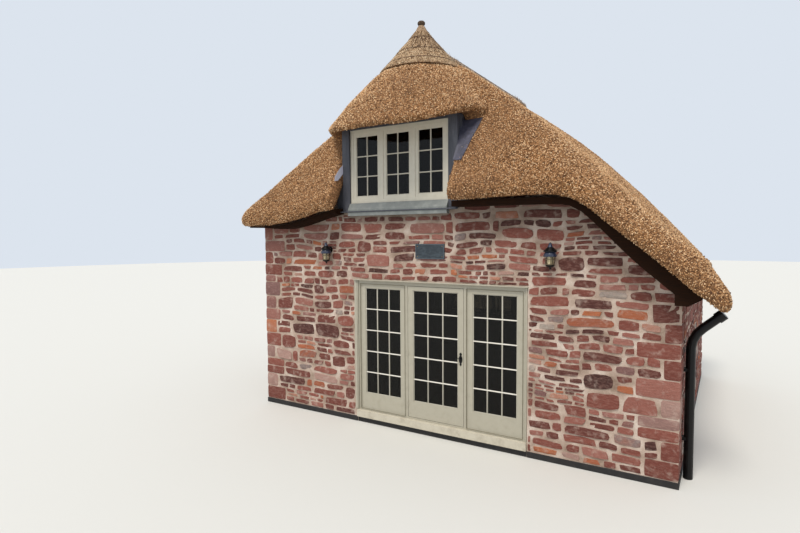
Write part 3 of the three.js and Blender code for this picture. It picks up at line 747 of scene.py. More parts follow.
class Build:
    """A mesh in the making, set down as one object when it is done."""

    def __init__(self, name: str) -> None:
        """Starts an empty mesh.

        Args:
            name: The name of the piece.
        """
        self.name = name
        self.bm = bmesh.new()

    def bevel(self, edges: Iterable[bmesh.types.BMEdge], width: float) -> None:
        """Cuts some edges off with one flat face each."""
        bmesh.ops.bevel(
            self.bm, geom=list(edges), offset=width, offset_type="OFFSET", affect="EDGES",
            segments=1, profile=0.5, material=-1,
        )

    def bar(self, low: Sequence[float], high: Sequence[float], edge: float = 0.002) -> None:
        """Adds a bar with bevelled edges.

        Args:
            low: Its lowest corner.
            high: Its highest corner.
            edge: How wide the bevel is.
        """
        a, b = Vector(low), Vector(high)
        place = Matrix.Translation((a + b) / 2) @ Matrix.Diagonal((*(b - a), 1.0))
        made = bmesh.ops.create_cube(self.bm, size=1.0, matrix=place)["verts"]
        self.bevel({e for v in made for e in v.link_edges}, edge)

    def surround(
        self, low: Vector, high: Vector, depth: Sequence[float], wide: float,
        over: float = 0.0, edge: float = 0.002,
    ) -> None:
        """Adds four bars along the rim of an upright pane or plate.

        Args:
            low: The pane's lowest corner.
            high: Its highest corner.
            depth: The Y of the bars' front and back.
            wide: How wide the bars are.
            over: How far they reach past the rim.
            edge: How wide their bevels are.
        """
        near, far = depth
        for a, b in ((low.x - over, low.x + wide), (high.x - wide, high.x + over)):
            self.bar((a, near, low.z), (b, far, high.z), edge)
        for a, b in ((low.z - over, low.z + wide), (high.z - wide, high.z + over)):
            self.bar((low.x + wide, near, a), (high.x - wide, far, b), edge)

    def turned(
        self, centre: Point, profile: Sequence[tuple[float, float]], steps: int = 20
    ) -> None:
        """Adds a body turned about an upright axis.

        Args:
            centre: A point on the axis, at the profile's height 0.
            profile: Pairs of a radius and a height, from the bottom to the top.
            steps: How many faces go round.
        """
        x, y, z = centre
        verts = [self.bm.verts.new((x + radius, y, z + height)) for radius, height in profile]
        edges = [self.bm.edges.new(pair) for pair in zip(verts, verts[1:])]
        made = bmesh.ops.spin(
            self.bm, geom=verts + edges, cent=centre, axis=(0.0, 0.0, 1.0),
            angle=2 * math.pi, steps=steps, use_merge=True,
        )
        grown = island(made["geom_last"] + verts)
        bmesh.ops.remove_doubles(self.bm, verts=list(grown), dist=0.0004)
        alive = [f for f in self.bm.faces if any(v in grown for v in f.verts)]
        bmesh.ops.recalc_face_normals(self.bm, faces=alive)

    def rod(self, start: Vector, stop: Vector, thick: float, thin: float, sides: int = 10) -> None:
        """Adds a round rod between two points.

        Args:
            start: Where it starts.
            stop: Where it ends.
            thick: Its radius at the start.
            thin: Its radius at the end.
            sides: How many faces go round.
        """
        way = stop - start
        turn = way.to_track_quat("Z", "Y").to_matrix().to_4x4()
        place = Matrix.Translation((start + stop) / 2) @ turn
        bmesh.ops.create_cone(
            self.bm, cap_ends=True, segments=sides, radius1=thick, radius2=thin,
            depth=way.length, matrix=place,
        )

    def ball(self, centre: Point, radius: float) -> None:
        """Adds a ball.

        Args:
            centre: Its centre.
            radius: Its radius.
        """
        place = Matrix.Translation(centre)
        bmesh.ops.create_uvsphere(self.bm, u_segments=14, v_segments=8, radius=radius, matrix=place)

    def plate(
        self, outline: Sequence[tuple[float, float]], near: float, far: float, edge: float = 0.0012
    ) -> None:
        """Adds a flat plate that faces along Y, with bevelled rims.

        Args:
            outline: Its outline as pairs of X and Z, in order.
            near: The Y of its front.
            far: The Y of its back.
            edge: How wide the bevel is.
        """
        face = self.bm.faces.new([self.bm.verts.new((x, near, z)) for x, z in outline])
        made = bmesh.ops.extrude_face_region(self.bm, geom=[face])["geom"]
        moved = [g for g in made if isinstance(g, bmesh.types.BMVert)]
        bmesh.ops.translate(self.bm, verts=moved, vec=(0.0, far - near, 0.0))
        sides = {f for v in moved for f in v.link_faces}
        bmesh.ops.recalc_face_normals(self.bm, faces=list(sides | {face}))
        self.bevel(face.edges, edge)

    def set_down(self, body: str, finish: Finish, smooth: float = 40.0) -> bpy.types.Object:
        """Makes the mesh an object that rides on a body.

        Args:
            body: The body it moves with.
            finish: Its finish.
            smooth: The angle in degrees under which edges are shaded smooth.

        Returns:
            The object.
        """
        mesh = bpy.data.meshes.new(self.name)
        self.bm.to_mesh(mesh)
        self.bm.free()
        return stand(self.name, mesh, body, finish, smooth)


def linked(name: str, data: bpy.types.ID) -> bpy.types.Object:
    """A new object for some data, linked to the scene.

    Args:
        name: The object's name.
        data: Its mesh, curve, camera or light.

    Returns:
        The object.
    """
    thing = bpy.data.objects.new(name, data)
    bpy.context.scene.collection.objects.link(thing)
    return thing


def settled(holder: bpy.types.Object, name: str) -> bpy.types.Mesh:
    """Makes a curve, or a mesh with modifiers, a plain mesh, and removes its holder.

    Args:
        holder: The object that holds it.
        name: The new mesh's name.

    Returns:
        The mesh.
    """
    bpy.context.view_layer.update()
    shape = holder.evaluated_get(bpy.context.evaluated_depsgraph_get())
    mesh = bpy.data.meshes.new_from_object(shape)
    mesh.name = name
    bpy.data.objects.remove(holder)
    return mesh


def stand(
    name: str, mesh: bpy.types.Mesh, body: str, finish: Finish, smooth: float = 40.0
) -> bpy.types.Object:
    """Makes a mesh an object with a finish, and lets it ride on a body.

    Args:
        name: The name of the piece.
        mesh: Its mesh, already in place.
        body: The body it moves with.
        finish: Its finish.
        smooth: The angle in degrees under which edges are shaded smooth.

    Returns:
        The object.
    """
    mesh.materials.clear()
    mesh.materials.append(finish.material())
    mesh.polygons.foreach_set("use_smooth", [True] * len(mesh.polygons))
    mesh.set_sharp_from_angle(angle=math.radians(smooth))
    piece = linked(name, mesh)
    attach(piece, body)
    LOG.info("%s: %d faces", name, len(mesh.polygons))
    return piece


def rods(
    name: str, paths: Iterable[Sequence[Vector]], radius: float, finish: Finish,
    closed: bool = False,
) -> bpy.types.Object:
    """Round rods along paths, as one mesh.

    Args:
        name: The name of the piece.
        paths: The points of each rod.
        radius: Their radius.
        finish: Their finish.
        closed: Whether each path closes on itself.

    Returns:
        The object.
    """
    curve = bpy.data.curves.new(name, "CURVE")
    curve.dimensions = "3D"
    curve.bevel_depth = radius
    curve.bevel_resolution = 1
    curve.use_fill_caps = True
    for path in paths:
        spline = curve.splines.new("POLY")
        spline.points.add(len(path) - 1)
        spline.points.foreach_set("co", [c for p in path for c in (*p, 1.0)])
        spline.use_cyclic_u = closed
    return stand(name, settled(linked(name + "_path", curve), name), HOUSE, finish)


def search_tree(meshes: Iterable[bpy.types.Mesh]) -> BVHTree:
    """A search tree over the faces of some meshes.

    Args:
        meshes: The meshes.

    Returns:
        The tree.
    """
    points: list[Vector] = []
    faces: list[tuple[int, ...]] = []
    for mesh in meshes:
        start = len(points)
        points += [v.co.copy() for v in mesh.vertices]
        faces += [tuple(start + i for i in p.vertices) for p in mesh.polygons]
    return BVHTree.FromPolygons(points, faces)


def tree_of(names: Iterable[str]) -> BVHTree:
    """A search tree over the faces of some nodes of the model."""
    return search_tree(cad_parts[name].data for name in names)


class Side(Enum):
    """The four faces of the walls: the corner where each starts, its direction and its outside."""

    FRONT = ((-3.325, -3.0), (1.0, 0.0), (0.0, -1.0), 6.65)
    RIGHT = ((3.325, -3.0), (0.0, 1.0), (1.0, 0.0), 6.0)
    BACK = ((3.325, 3.0), (-1.0, 0.0), (0.0, 1.0), 6.65)
    LEFT = ((-3.325, 3.0), (0.0, -1.0), (-1.0, 0.0), 6.0)

    def point(self, along: float, height: float, proud: float) -> Vector:
        """A point on this face of the walls.

        Args:
            along: The distance from the face's first corner.
            height: The height over the paving.
            proud: How far it stands out of the face.

        Returns:
            The point.
        """
        start, way, out, _ = self.value
        x = start[0] + way[0] * along + out[0] * proud
        y = start[1] + way[1] * along + out[1] * proud
        return Vector((x, y, height))

    @property
    def length(self) -> float:
        """How long the face is."""
        return self.value[3]

    @property
    def outside(self) -> Vector:
        """The direction that points away from the wall."""
        return Vector((*self.value[2], 0.0))


@dataclass
class RubbleWalls:
    """Random rubble brought to courses, on all four faces, with stones that turn the corners."""

    foot: float = 0.085
    levels: tuple = (0.085, 1.05, 2.2, 2.32, 4.55)
    band: float = 0.25
    joint: float = 0.007
    lip: float = 0.007
    proud: float = 0.009
    sunk: float = 0.004
    sway: float = 0.03
    calm: float = 0.3
    ragged: float = 0.007
    relief: float = 0.007
    tilt: float = 0.004
    rises: tuple = (0.4, 1.5)
    lenses: tuple = (0.0, 0.34, 0.1)
    rounding: tuple = (0.05, 0.13)
    gap_shares: tuple = (0.3, 0.75)
    margin: float = 0.014
    least: float = 0.035
    cut: float = 0.004
    slack: float = 0.03
    step: float = 0.02
    cell: float = 0.03
    seed: int = 11
    red_share: float = 0.88
    red_tones: tuple = (0.0, 0.78, 0.36)
    odd_tones: tuple = (0.8, 1.0)
    corner_tones: tuple = (0.3, 0.9)
    mottle: float = 0.02
    layer_weights: tuple = (2.4, 5.8, 1.7, 0.2)
    one_layer: tuple = (0.24, 0.56)
    more_layers: tuple = (0.3, 1.0)
    slimness: tuple = (1.1, 5.6, 2.6)
    lengths: tuple = (0.11, 0.64)
    shortest: float = 0.09
    thin: float = 0.16
    uneven: tuple = (0.6, 1.4)
    split_from: float = 0.27
    split_share: float = 0.6
    knocked_share: float = 0.22
    knocked: float = 2.4
    off_ends: tuple = (0.0, 0.28, 0.02)
    off_tops: tuple = (0.0, 0.4, 0.03)
    most_off: tuple = (0.05, 0.026)
    long_reach: tuple = (0.34, 0.5)
    short_reach: tuple = (0.18, 0.26)

    def __post_init__(self) -> None:
        """Sets out the bands of stone and what covers the walls."""
        self.chance = random.Random(self.seed)
        nodes = list(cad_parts)
        walls = [n for n in nodes if n.endswith("_wall") or n.startswith("front_wall")]
        free = [n for n in nodes if "lantern" in n or n == "name_plate"]
        covers = [n for n in nodes if n not in walls + free]
        self.wall_tree = tree_of(walls)
        self.cover_tree = tree_of(covers)
        self.openings: dict[Side, list[Rectangle]] = {
            Side.FRONT: [(1.98, 4.835, 0.0, 2.32), (1.72, 3.87, 3.35, 4.8)],
            Side.RIGHT: [],
            Side.BACK: [(0.85, 2.6, 1.05, 2.2), (4.05, 5.8, 1.05, 2.2)],
            Side.LEFT: [],
        }
        self.eaves = {side: self.under_eaves(side) for side in Side}
        self.bands = list(self.courses())

    def courses(self) -> Iterator[tuple[float, float]]:
        """The bottom and top of each band of stone.

        Yields:
            The bottom and the top.
        """
        for low, high in zip(self.levels, self.levels[1:]):
            count = max(1, round((high - low) / self.band))
            parts = [self.chance.uniform(0.75, 1.25) for _ in range(count)]
            height = low
            for part in parts:
                step = part / sum(parts) * (high - low)
                yield height, height + step
                height += step

    def tone(self) -> float:
        """A stone's tone, mostly red and plum.

        Returns:
            The tone, from 0 to 1.
        """
        if self.chance.random() < self.red_share:
            return self.chance.triangular(*self.red_tones)
        return self.chance.uniform(*self.odd_tones)

    def covered(self, side: Side, along: float, height: float) -> bool:
        """Whether a point of a face has no wall behind it or something solid over it.

        Args:
            side: The face.
            along: The distance along it.
            height: The height.

        Returns:
            True where no stone shows.
        """
        out = side.outside
        hit = self.wall_tree.ray_cast(side.point(along, height, 0.05), -out, 0.1)[0]
        if hit is None:
            return True
        normal = self.cover_tree.ray_cast(side.point(along, height, 0.02), out, 1.5)[1]
        return normal is not None and normal.dot(out) > 0

    def under_eaves(self, side: Side) -> list[float]:
        """The highest bare spots of a face, at even steps along it.

        Args:
            side: The face.

        Returns:
            The heights.
        """
        count = round(side.length / self.step)
        heights = []
        for k in range(count + 1):
            along = min(side.length - 0.03, max(0.03, side.length * k / count))
            height = self.levels[-1]
            while height > self.foot and self.covered(side, along, height):
                height -= 0.01
            heights.append(height)
        return heights

    def ceiling(self, side: Side, along: float) -> float:
        """How high a stone may reach at one place of a face.

        Args:
            side: The face.
            along: The distance along it.

        Returns:
            The height.
        """
        heights = self.eaves[side]
        place = min(1.0, max(0.0, along / side.length)) * (len(heights) - 1)
        before = min(int(place), len(heights) - 2)
        share = place - before
        return heights[before] * (1 - share) + heights[before + 1] * share - self.margin

    def fitted(self, side: Side, block: Rectangle) -> Rectangle | None:
        """A stone cut off where the eaves leave too little room for it.

        Args:
            side: The face.
            block: The stone's ends and its bottom and top.

        Returns:
            What is left of it, or nothing.
        """
        left, right, low, high = block
        count = max(2, round((right - left) / self.step))
        places = [left + (right - left) * k / count for k in range(count + 1)]
        free = [place for place in places if self.ceiling(side, place) - low > self.least]
        if not free or free[-1] - free[0] < 0.05:
            return None
        return (free[0], free[-1], low, high)

    def trimmed(self, side: Side, block: Rectangle) -> Rectangle | None:
        """A stone cut back to the edge of an opening.

        Args:
            side: The face.
            block: The stone's ends and its bottom and top.

        Returns:
            What is left of it, or nothing.
        """
        left, right, low, high = block
        for a, b, bottom, top in self.openings[side]:
            if right <= a or left >= b or high <= bottom or low >= top:
                continue
            beside = (left < a) != (right > b)
            if beside or low >= bottom - self.slack and high <= top + self.slack:
                if left < a:
                    right = a - self.cut
                elif right > b:
                    left = b + self.cut
                else:
                    return None
            elif high > top:
                low = top + self.cut
            else:
                high = bottom - self.cut
        return (left, right, low, high) if right - left > 0.04 and high - low > 0.03 else None

    def blocks(self, side: Side, ends: dict[int, tuple[float, float]]) -> Iterator[Rectangle]:
        """The stones of one face, without those that turn the corners.

        Args:
            side: The face.
            ends: How far the corner stones reach in from each end, band by band.

        Yields:
            Each stone's ends and its bottom and top.
        """
        for number, (low, high) in enumerate(self.bands):
            along, stop = ends[number][0], side.length - ends[number][1]
            while along < stop - 0.05:
                layers = self.chance.choices((1, 2, 3, 4), self.layer_weights)[0]
                if high - low < self.thin:
                    layers = 1
                width = self.chance.uniform(*(self.one_layer if layers == 1 else self.more_layers))
                if stop - along - width < self.thin:
                    width = stop - along
                parts = [self.chance.uniform(*self.uneven) for _ in range(layers)]
                sums = [sum(parts[:k]) for k in range(layers + 1)]
                edges = [low + (high - low) * part / sum(parts) for part in sums]
                for bottom, top in zip(edges, edges[1:]):
                    yield from self.row(along, along + width, bottom, top)
                along += width

    def row(self, start: float, stop: float, bottom: float, top: float) -> Iterator[Rectangle]:
        """The stones of one short layer, laid end to end.

        Args:
            start: Where the layer begins.
            stop: Where it ends.
            bottom: Its bottom.
            top: Its top.

        Yields:
            Each stone's ends and its bottom and top.
        """
        while stop - start > 0.01:
            length = (top - bottom) * self.chance.triangular(*self.slimness)
            length = min(self.lengths[1], max(self.lengths[0], length))
            if stop - start - length < self.shortest:
                length = stop - start
            yield start, start + length, bottom, top
            start += length

    def held(self, side: Side, along: float, height: float) -> float:
        """How freely a joint may sway here, from 0 at an edge to 1 in the open wall.

        Args:
            side: The face.
            along: The distance along it.
            height: The height.

        Returns:
            The freedom.
        """
        gaps = [along, side.length - along, height - self.foot, self.ceiling(side, along) - height]
        for a, b, bottom, top in self.openings[side]:
            across = max(a - along, along - b, 0.0)
            up = max(bottom - height, height - top, 0.0)
            gaps.append(math.hypot(across, up))
        return min(1.0, max(0.0, min(gaps)) / self.calm)

    def stone(self, bm: bmesh.types.BMesh, side: Side, block: Rectangle) -> None:
        """Adds one stone to a face.

        Args:
            bm: The mesh that holds the face's stones.
            side: The face.
            block: The stone's ends and its bottom and top.
        """
        layer = bm.verts.layers.float["tone"]
        tone = self.tone()
        left, right, low, high = block
        gap = self.joint * self.chance.uniform(*self.gap_shares)
        left, right, low, high = left + gap, right - gap, low + gap * 0.7, high - gap * 0.7
        half = Vector(((right - left) / 2, (high - low) / 2))
        if half.x < 0.018 or half.y < 0.012:
            return
        across = max(4, min(7, round(half.x / self.cell) + 2))
        up = max(3, min(5, round(half.y / self.cell) + 2))
        made = bmesh.ops.create_grid(bm, x_segments=across, y_segments=up, size=1.0)["verts"]
        quad = self.four_corners(half)
        rise = self.proud * self.chance.uniform(*self.rises)
        tilt = [self.chance.uniform(-self.tilt, self.tilt) for _ in range(2)]
        salt = Vector((self.chance.random() * 50, self.chance.random() * 50, 0.0))
        lens = self.chance.triangular(*self.lenses)
        round_off = self.chance.uniform(*self.rounding)
        for v in made:
            s, t = v.co.x, v.co.y
            edge = abs(s) > 0.99 or abs(t) > 0.99
            s = self.spaced(s, across, half.x)
            t = self.spaced(t, up, half.y)
            below = quad[0].lerp(quad[1], (1 + s) / 2)
            above = quad[2].lerp(quad[3], (1 + s) / 2)
            spot = below.lerp(above, (1 + t) / 2) * (1 - round_off * abs(s * t) ** 3)
            spot.y *= 1 - lens * abs(s) ** 4
            in_x = noise.noise(spot * 24 + salt) * self.ragged * s
            in_z = noise.noise(spot * 17 - salt) * self.ragged * t
            spot += Vector((in_x, in_z, 0.0))
            rough = noise.noise(spot * 22 + salt)
            along = (left + right) / 2 + spot.x
            height = (low + high) / 2 + spot.y
            free = self.held(side, along, height)
            wave = Vector((along * 1.9, height * 2.6, side.length + self.seed))
            along += self.sway * free * noise.noise(wave)
            height += self.sway * 1.4 * free * noise.noise(wave + Vector((7.0, 3.0, 1.0)))
            room = self.ceiling(side, along)
            if room < high:
                height = low + (height - low) / (high - low) * max(0.008, room - low)
            out = rise + rough * self.relief + tilt[0] * s + tilt[1] * t
            if edge:
                out = -self.sunk
            v.co = side.point(along, height, out)
            v[layer] = tone + rough * self.mottle

    def four_corners(self, half: Vector) -> list[Vector]:
        """The corners of one stone, each knocked in by its own amount.

        Args:
            half: Half of the stone's length and of its height.

        Returns:
            The two lower corners and then the two upper ones, left before right.
        """
        quad = []
        for t in (-1, 1):
            for s in (-1, 1):
                hard = self.knocked if self.chance.random() < self.knocked_share else 1.0
                in_x = half.x * self.chance.triangular(*self.off_ends) * hard
                in_y = half.y * self.chance.triangular(*self.off_tops) * hard
                in_x, in_y = min(self.most_off[0], in_x), min(self.most_off[1], in_y)
                quad.append(Vector((s * (half.x - in_x), t * (half.y - in_y), 0.0)))
        return quad

    def spaced(self, position: float, count: int, half: float) -> float:
        """Moves a grid line so that the outermost cells are a narrow lip.

        Args:
            position: The line's place, from -1 to 1.
            count: How many cells there are across.
            half: Half of the stone's size that way, in metres.

        Returns:
            The line's new place, from -1 to 1.
        """
        lip = min(0.3, self.lip / half)
        if abs(position) > 0.99:
            return position
        inner = 1.0 - 2.0 / count
        return position / inner * (1.0 - lip)

    def corner_stone(
        self, bm: bmesh.types.BMesh, corner: Sequence[float], reach: Sequence[float],
        low: float, high: float,
    ) -> None:
        """Adds a stone that turns a corner.

        Args:
            bm: The mesh that holds the corner stones.
            corner: The corner in plan.
            reach: How far the stone reaches along X and along Y.
            low: Its bottom.
            high: Its top.
        """
        layer = bm.verts.layers.float["tone"]
        tone = self.chance.uniform(*self.corner_tones)
        size = Vector((reach[0], reach[1], high - low - self.joint))
        out = self.proud * self.chance.uniform(0.7, 1.4)
        plan = [c + math.copysign(1, c) * (out - size[i] / 2) for i, c in enumerate(corner)]
        middle = Vector((*plan, (low + high) / 2))
        made = bmesh.ops.create_cube(bm, size=2.0)["verts"]
        edges = list({e for v in made for e in v.link_edges})
        cut = bmesh.ops.subdivide_edges(bm, edges=edges, cuts=3, use_grid_fill=True)
        salt = Vector((self.chance.random() * 50, 0.0, 0.0))
        for v in island(cut["geom_inner"]):
            unit = Vector([math.copysign(abs(c) ** 0.4, c) for c in v.co])
            far = [abs(c) ** 6 for c in unit]
            inward = [1 - 0.035 * (far[i - 2] + far[i - 1]) for i in range(3)]
            square = Vector([c * inward[i] for i, c in enumerate(unit)])
            spot = Vector([square[i] * size[i] / 2 for i in range(3)])
            rough = noise.noise(spot * 14 + salt)
            v.co = middle + spot * (1 + 0.02 * rough)
            v[layer] = tone + rough * self.mottle

    def corners(self) -> dict[Side, dict[int, tuple[float, float]]]:
        """Builds the corner stones, long one way and then the other.

        Returns:
            How far they reach in on each face, band by band.
        """
        build = Build("rubble_corner_stones")
        build.bm.verts.layers.float.new("tone")
        ends: dict[Side, dict[int, tuple[float, float]]] = {side: {} for side in Side}
        order = list(Side)
        for number, (low, high) in enumerate(self.bands):
            reach = {}
            for place, side in enumerate(order):
                spans = (self.long_reach, self.short_reach)
                first, second = spans if (number + place) % 2 == 0 else spans[::-1]
                along, back = self.chance.uniform(*first), self.chance.uniform(*second)
                reach[side] = (along, back)
                ways = (along, back) if side in (Side.FRONT, Side.BACK) else (back, along)
                before = order[place - 1]
                tops = [(side, 0.02), (side, along)]
                tops += [(before, before.length - off) for off in (0.02, back)]
                if any(self.covered(face, spot, high) for face, spot in tops):
                    reach[side] = (0.0, 0.0)
                    continue
                cut = None
                if high - low > self.split_from and self.chance.random() < self.split_share:
                    cut = (low + high) / 2
                for bottom, top in [(low, cut), (cut, high)] if cut else [(low, high)]:
                    self.corner_stone(build.bm, side.value[0], ways, bottom, top)
            for place, side in enumerate(order):
                after = order[(place + 1) % 4]
                ends[side][number] = (reach[side][0] + 0.006, reach[after][1] + 0.006)
        build.set_down(HOUSE, STONE, 50.0)
        return ends

    def build(self) -> None:
        """Builds the stones of all faces and the corners."""
        ends = self.corners()
        for side in Side:
            build = Build(f"rubble_{side.name.lower()}")
            build.bm.verts.layers.float.new("tone")
            for block in self.blocks(side, ends[side]):
                kept = self.trimmed(side, block)
                kept = kept and self.fitted(side, kept)
                if kept:
                    self.stone(build.bm, side, kept)
            build.set_down(HOUSE, STONE, 50.0)


@dataclass
class DampCourse:
    """The black strip along the foot of the walls."""

    height: float = 0.08
    proud: float = 0.012
    deep: float = 0.004
    gap: tuple[float, float] = (2.02, 4.835)

    def build(self) -> None:
        """Builds the strip on all four faces, with the doorway left open."""
        build = Build("damp_course")
        for side in Side:
            runs = [(0.0, side.length)]
            if side is Side.FRONT:
                runs = [(-self.proud, self.gap[0]), (self.gap[1], side.length + self.proud)]
            for start, stop in runs:
                a = side.point(start, 0.002, -self.deep)
                b = side.point(stop, self.height, self.proud)
                low, high = zip(*(sorted(pair) for pair in zip(a, b)))
                build.bar(low, high, 0.003)
        build.set_down(HOUSE, BITUMEN)


@dataclass
class ReedField:
    """Reed ends that stand out of a surface, as joined meshes made from arrays."""

    name: str
    finish: Finish
    spacing: float = 0.0195
    length: float = 0.045
    radius: float = 0.0074
    stand_out: float = 0.008
    lean: tuple[float, float] = (0.7, 1.25)
    spread: float = 0.22
    seed: int = 5
    most: int = 48000
    middle: Point = (-0.53, 0.0, 0.0)
    tones: float = 0.3
    root_tone: float = 0.3
    stand_outs: tuple = (0.2, 1.5)
    widths: tuple = (0.7, 1.25)
    depths: tuple = (0.8, 1.2)
    sunk: float = 0.0
    zone: Callable[[np.ndarray], np.ndarray] | None = None

    @staticmethod
    def skin(mesh: bpy.types.Mesh) -> tuple[np.ndarray, np.ndarray, np.ndarray]:
        """The triangles of a mesh that face the weather.

        Args:
            mesh: The mesh.

        Returns:
            Their corners, their normals and their areas.
        """
        mesh.calc_loop_triangles()
        tree = search_tree([mesh])
        open_face = np.zeros(len(mesh.polygons), bool)
        up = Vector((0.0, 0.0, 0.8))
        for polygon in mesh.polygons:
            start = polygon.center + polygon.normal * 0.03
            way = (polygon.normal * 0.6 + up).normalized()
            open_face[polygon.index] = tree.ray_cast(start, way, 6.0)[0] is None
        triangles = mesh.loop_triangles
        corners = np.empty(len(triangles) * 3, np.int32)
        triangles.foreach_get("vertices", corners)
        faces = np.empty(len(triangles), np.int32)
        triangles.foreach_get("polygon_index", faces)
        spots = np.empty(len(mesh.vertices) * 3, np.float32)
        mesh.vertices.foreach_get("co", spots)
        chosen = spots.reshape(-1, 3)[corners.reshape(-1, 3)[open_face[faces]]]
        across = np.cross(chosen[:, 1] - chosen[:, 0], chosen[:, 2] - chosen[:, 0])
        size = np.linalg.norm(across, axis=1)
        return chosen, across / np.maximum(size, 1e-12)[:, None], size / 2

    def fall(self, foot: np.ndarray, out: np.ndarray) -> np.ndarray:
        """The way down the surface at each point, or outwards where it is flat.

        Args:
            foot: The points.
            out: The normals there.

        Returns:
            The directions, each of length 1.
        """
        down = np.array([0.0, 0.0, -1.0]) + out * out[:, 2:3]
        away = foot - np.array(self.middle)
        away[:, 2] = 0.0
        flat = np.linalg.norm(down, axis=1) < 0.25
        down[flat] = away[flat] - out[flat] * (away[flat] * out[flat]).sum(1)[:, None]
        return down / np.maximum(np.linalg.norm(down, axis=1), 1e-6)[:, None]

    def scatter(self, mesh: bpy.types.Mesh) -> None:
        """Sets reed ends all over the skin of a mesh.

        Args:
            mesh: The mesh.
        """
        corners, normals, areas = self.skin(mesh)
        if self.zone:
            areas = areas * self.zone(corners.mean(axis=1))
        dice = np.random.default_rng(self.seed)
        count = int(areas.sum() / self.spacing**2)
        pick = dice.choice(len(areas), count, p=areas / areas.sum())
        a, b = dice.random(count), dice.random(count)
        over = a + b > 1
        a[over], b[over] = 1 - a[over], 1 - b[over]
        chosen = corners[pick]
        foot = chosen[:, 0] + a[:, None] * (chosen[:, 1] - chosen[:, 0])
        foot += b[:, None] * (chosen[:, 2] - chosen[:, 0])
        out = normals[pick]
        down = self.fall(foot, out)
        lean = dice.uniform(*self.lean, count)[:, None]
        sway = dice.normal(0.0, self.spread, count)[:, None]
        axis = down * np.cos(lean) + out * np.sin(lean) + np.cross(out, down) * sway
        axis /= np.linalg.norm(axis, axis=1)[:, None]
        left = np.cross(axis, out + 0.01 * down)
        left /= np.linalg.norm(left, axis=1)[:, None]
        top = np.cross(left, axis)
        middle = foot + out * (self.stand_out * dice.uniform(*self.stand_outs, count))[:, None]
        width = (self.radius * dice.uniform(*self.widths, count))[:, None]
        turn = dice.uniform(0, 2 * math.pi, count)[:, None]
        turns = [turn + k * THIRD_OF_A_TURN for k in range(3)]
        ring = [middle + width * (left * np.cos(way) + top * np.sin(way)) for way in turns]
        deep = (self.length * dice.uniform(*self.depths, count))[:, None]
        root = middle - axis * deep - out * self.sunk
        tone = np.clip(dice.normal(0.5, self.tones, count), 0.0, 1.0)
        spots = np.stack([*ring, root], axis=1)
        # Painted shade: the root of each reed end, down in the coat, takes a darker tone.
        tones = np.stack([tone, tone, tone, tone * self.root_tone], axis=1)
        for part, start in enumerate(range(0, count, self.most)):
            stop = start + self.most
            self.join(f"{self.name}_{part + 1}", spots[start:stop], tones[start:stop])

    def join(self, name: str, corners: np.ndarray, tones: np.ndarray) -> None:
        """Makes one mesh of many four-cornered reed ends.

        Args:
            name: The name of the piece.
            corners: The four corners of each reed end.
            tones: The tone at each corner.
        """
        count = len(corners)
        pattern = np.array([[0, 1, 2], [0, 3, 1], [1, 3, 2], [2, 3, 0]])
        faces = (np.arange(count)[:, None, None] * 4 + pattern[None]).reshape(-1, 3)
        mesh = bpy.data.meshes.new(name)
        mesh.from_pydata(corners.reshape(-1, 3).tolist(), [], faces.tolist())
        layer = mesh.attributes.new("tone", "FLOAT", "POINT")
        layer.data.foreach_set("value", tones.reshape(-1).astype(np.float32))
        mesh.update()
        stand(name, mesh, HOUSE, self.finish, 180.0)


def near_ridge(spots: np.ndarray) -> np.ndarray:
    """Which points lie on the straw that is laid over the ridge."""
    return (spots[:, 2] > RIDGE_FOOT) & (spots[:, 1] > RIDGE_START)


def below_ridge(spots: np.ndarray) -> np.ndarray:
    """How thickly reed ends stand below the ridge's straw, thinner towards the back."""
    return ~near_ridge(spots) * np.interp(spots[:, 1], *THINNER)


@dataclass(frozen=True)
class Bulge:
    """A place where the coat of thatch stands out more than the solid under it."""

    centre: Point
    reach: Point
    way: Point
    out: float
    most_x: float = 9.0

    def moved(self, co: Vector, normal: Vector) -> Vector:
        """Where a point of the coat goes.

        Args:
            co: The point.
            normal: The way that it faces.

        Returns:
            The new place.
        """
        away = sum(((co[i] - self.centre[i]) / self.reach[i]) ** 2 for i in range(3))
        way = Vector(self.way).normalized()
        spot = co + way * (self.out * max(0.0, normal.dot(way)) * math.exp(-away))
        if co.x <= self.most_x:
            spot.x = min(spot.x, self.most_x)
        return spot


RIGHT_SHOULDER = Bulge((3.5, -2.4, 2.66), (0.33, 1.1, 0.33), (0.72, 0.0, 0.69), 0.1)
LEFT_TIP = Bulge((-3.58, -3.35, 3.27), (0.16, 0.5, 0.16), (-1.0, 0.0, -0.25), 0.06)
BY_LEFT_CHEEK = Bulge((-1.56, -3.2, 3.6), (0.12, 0.3, 0.3), (0.75, -0.1, -0.65), 0.07, -1.55)


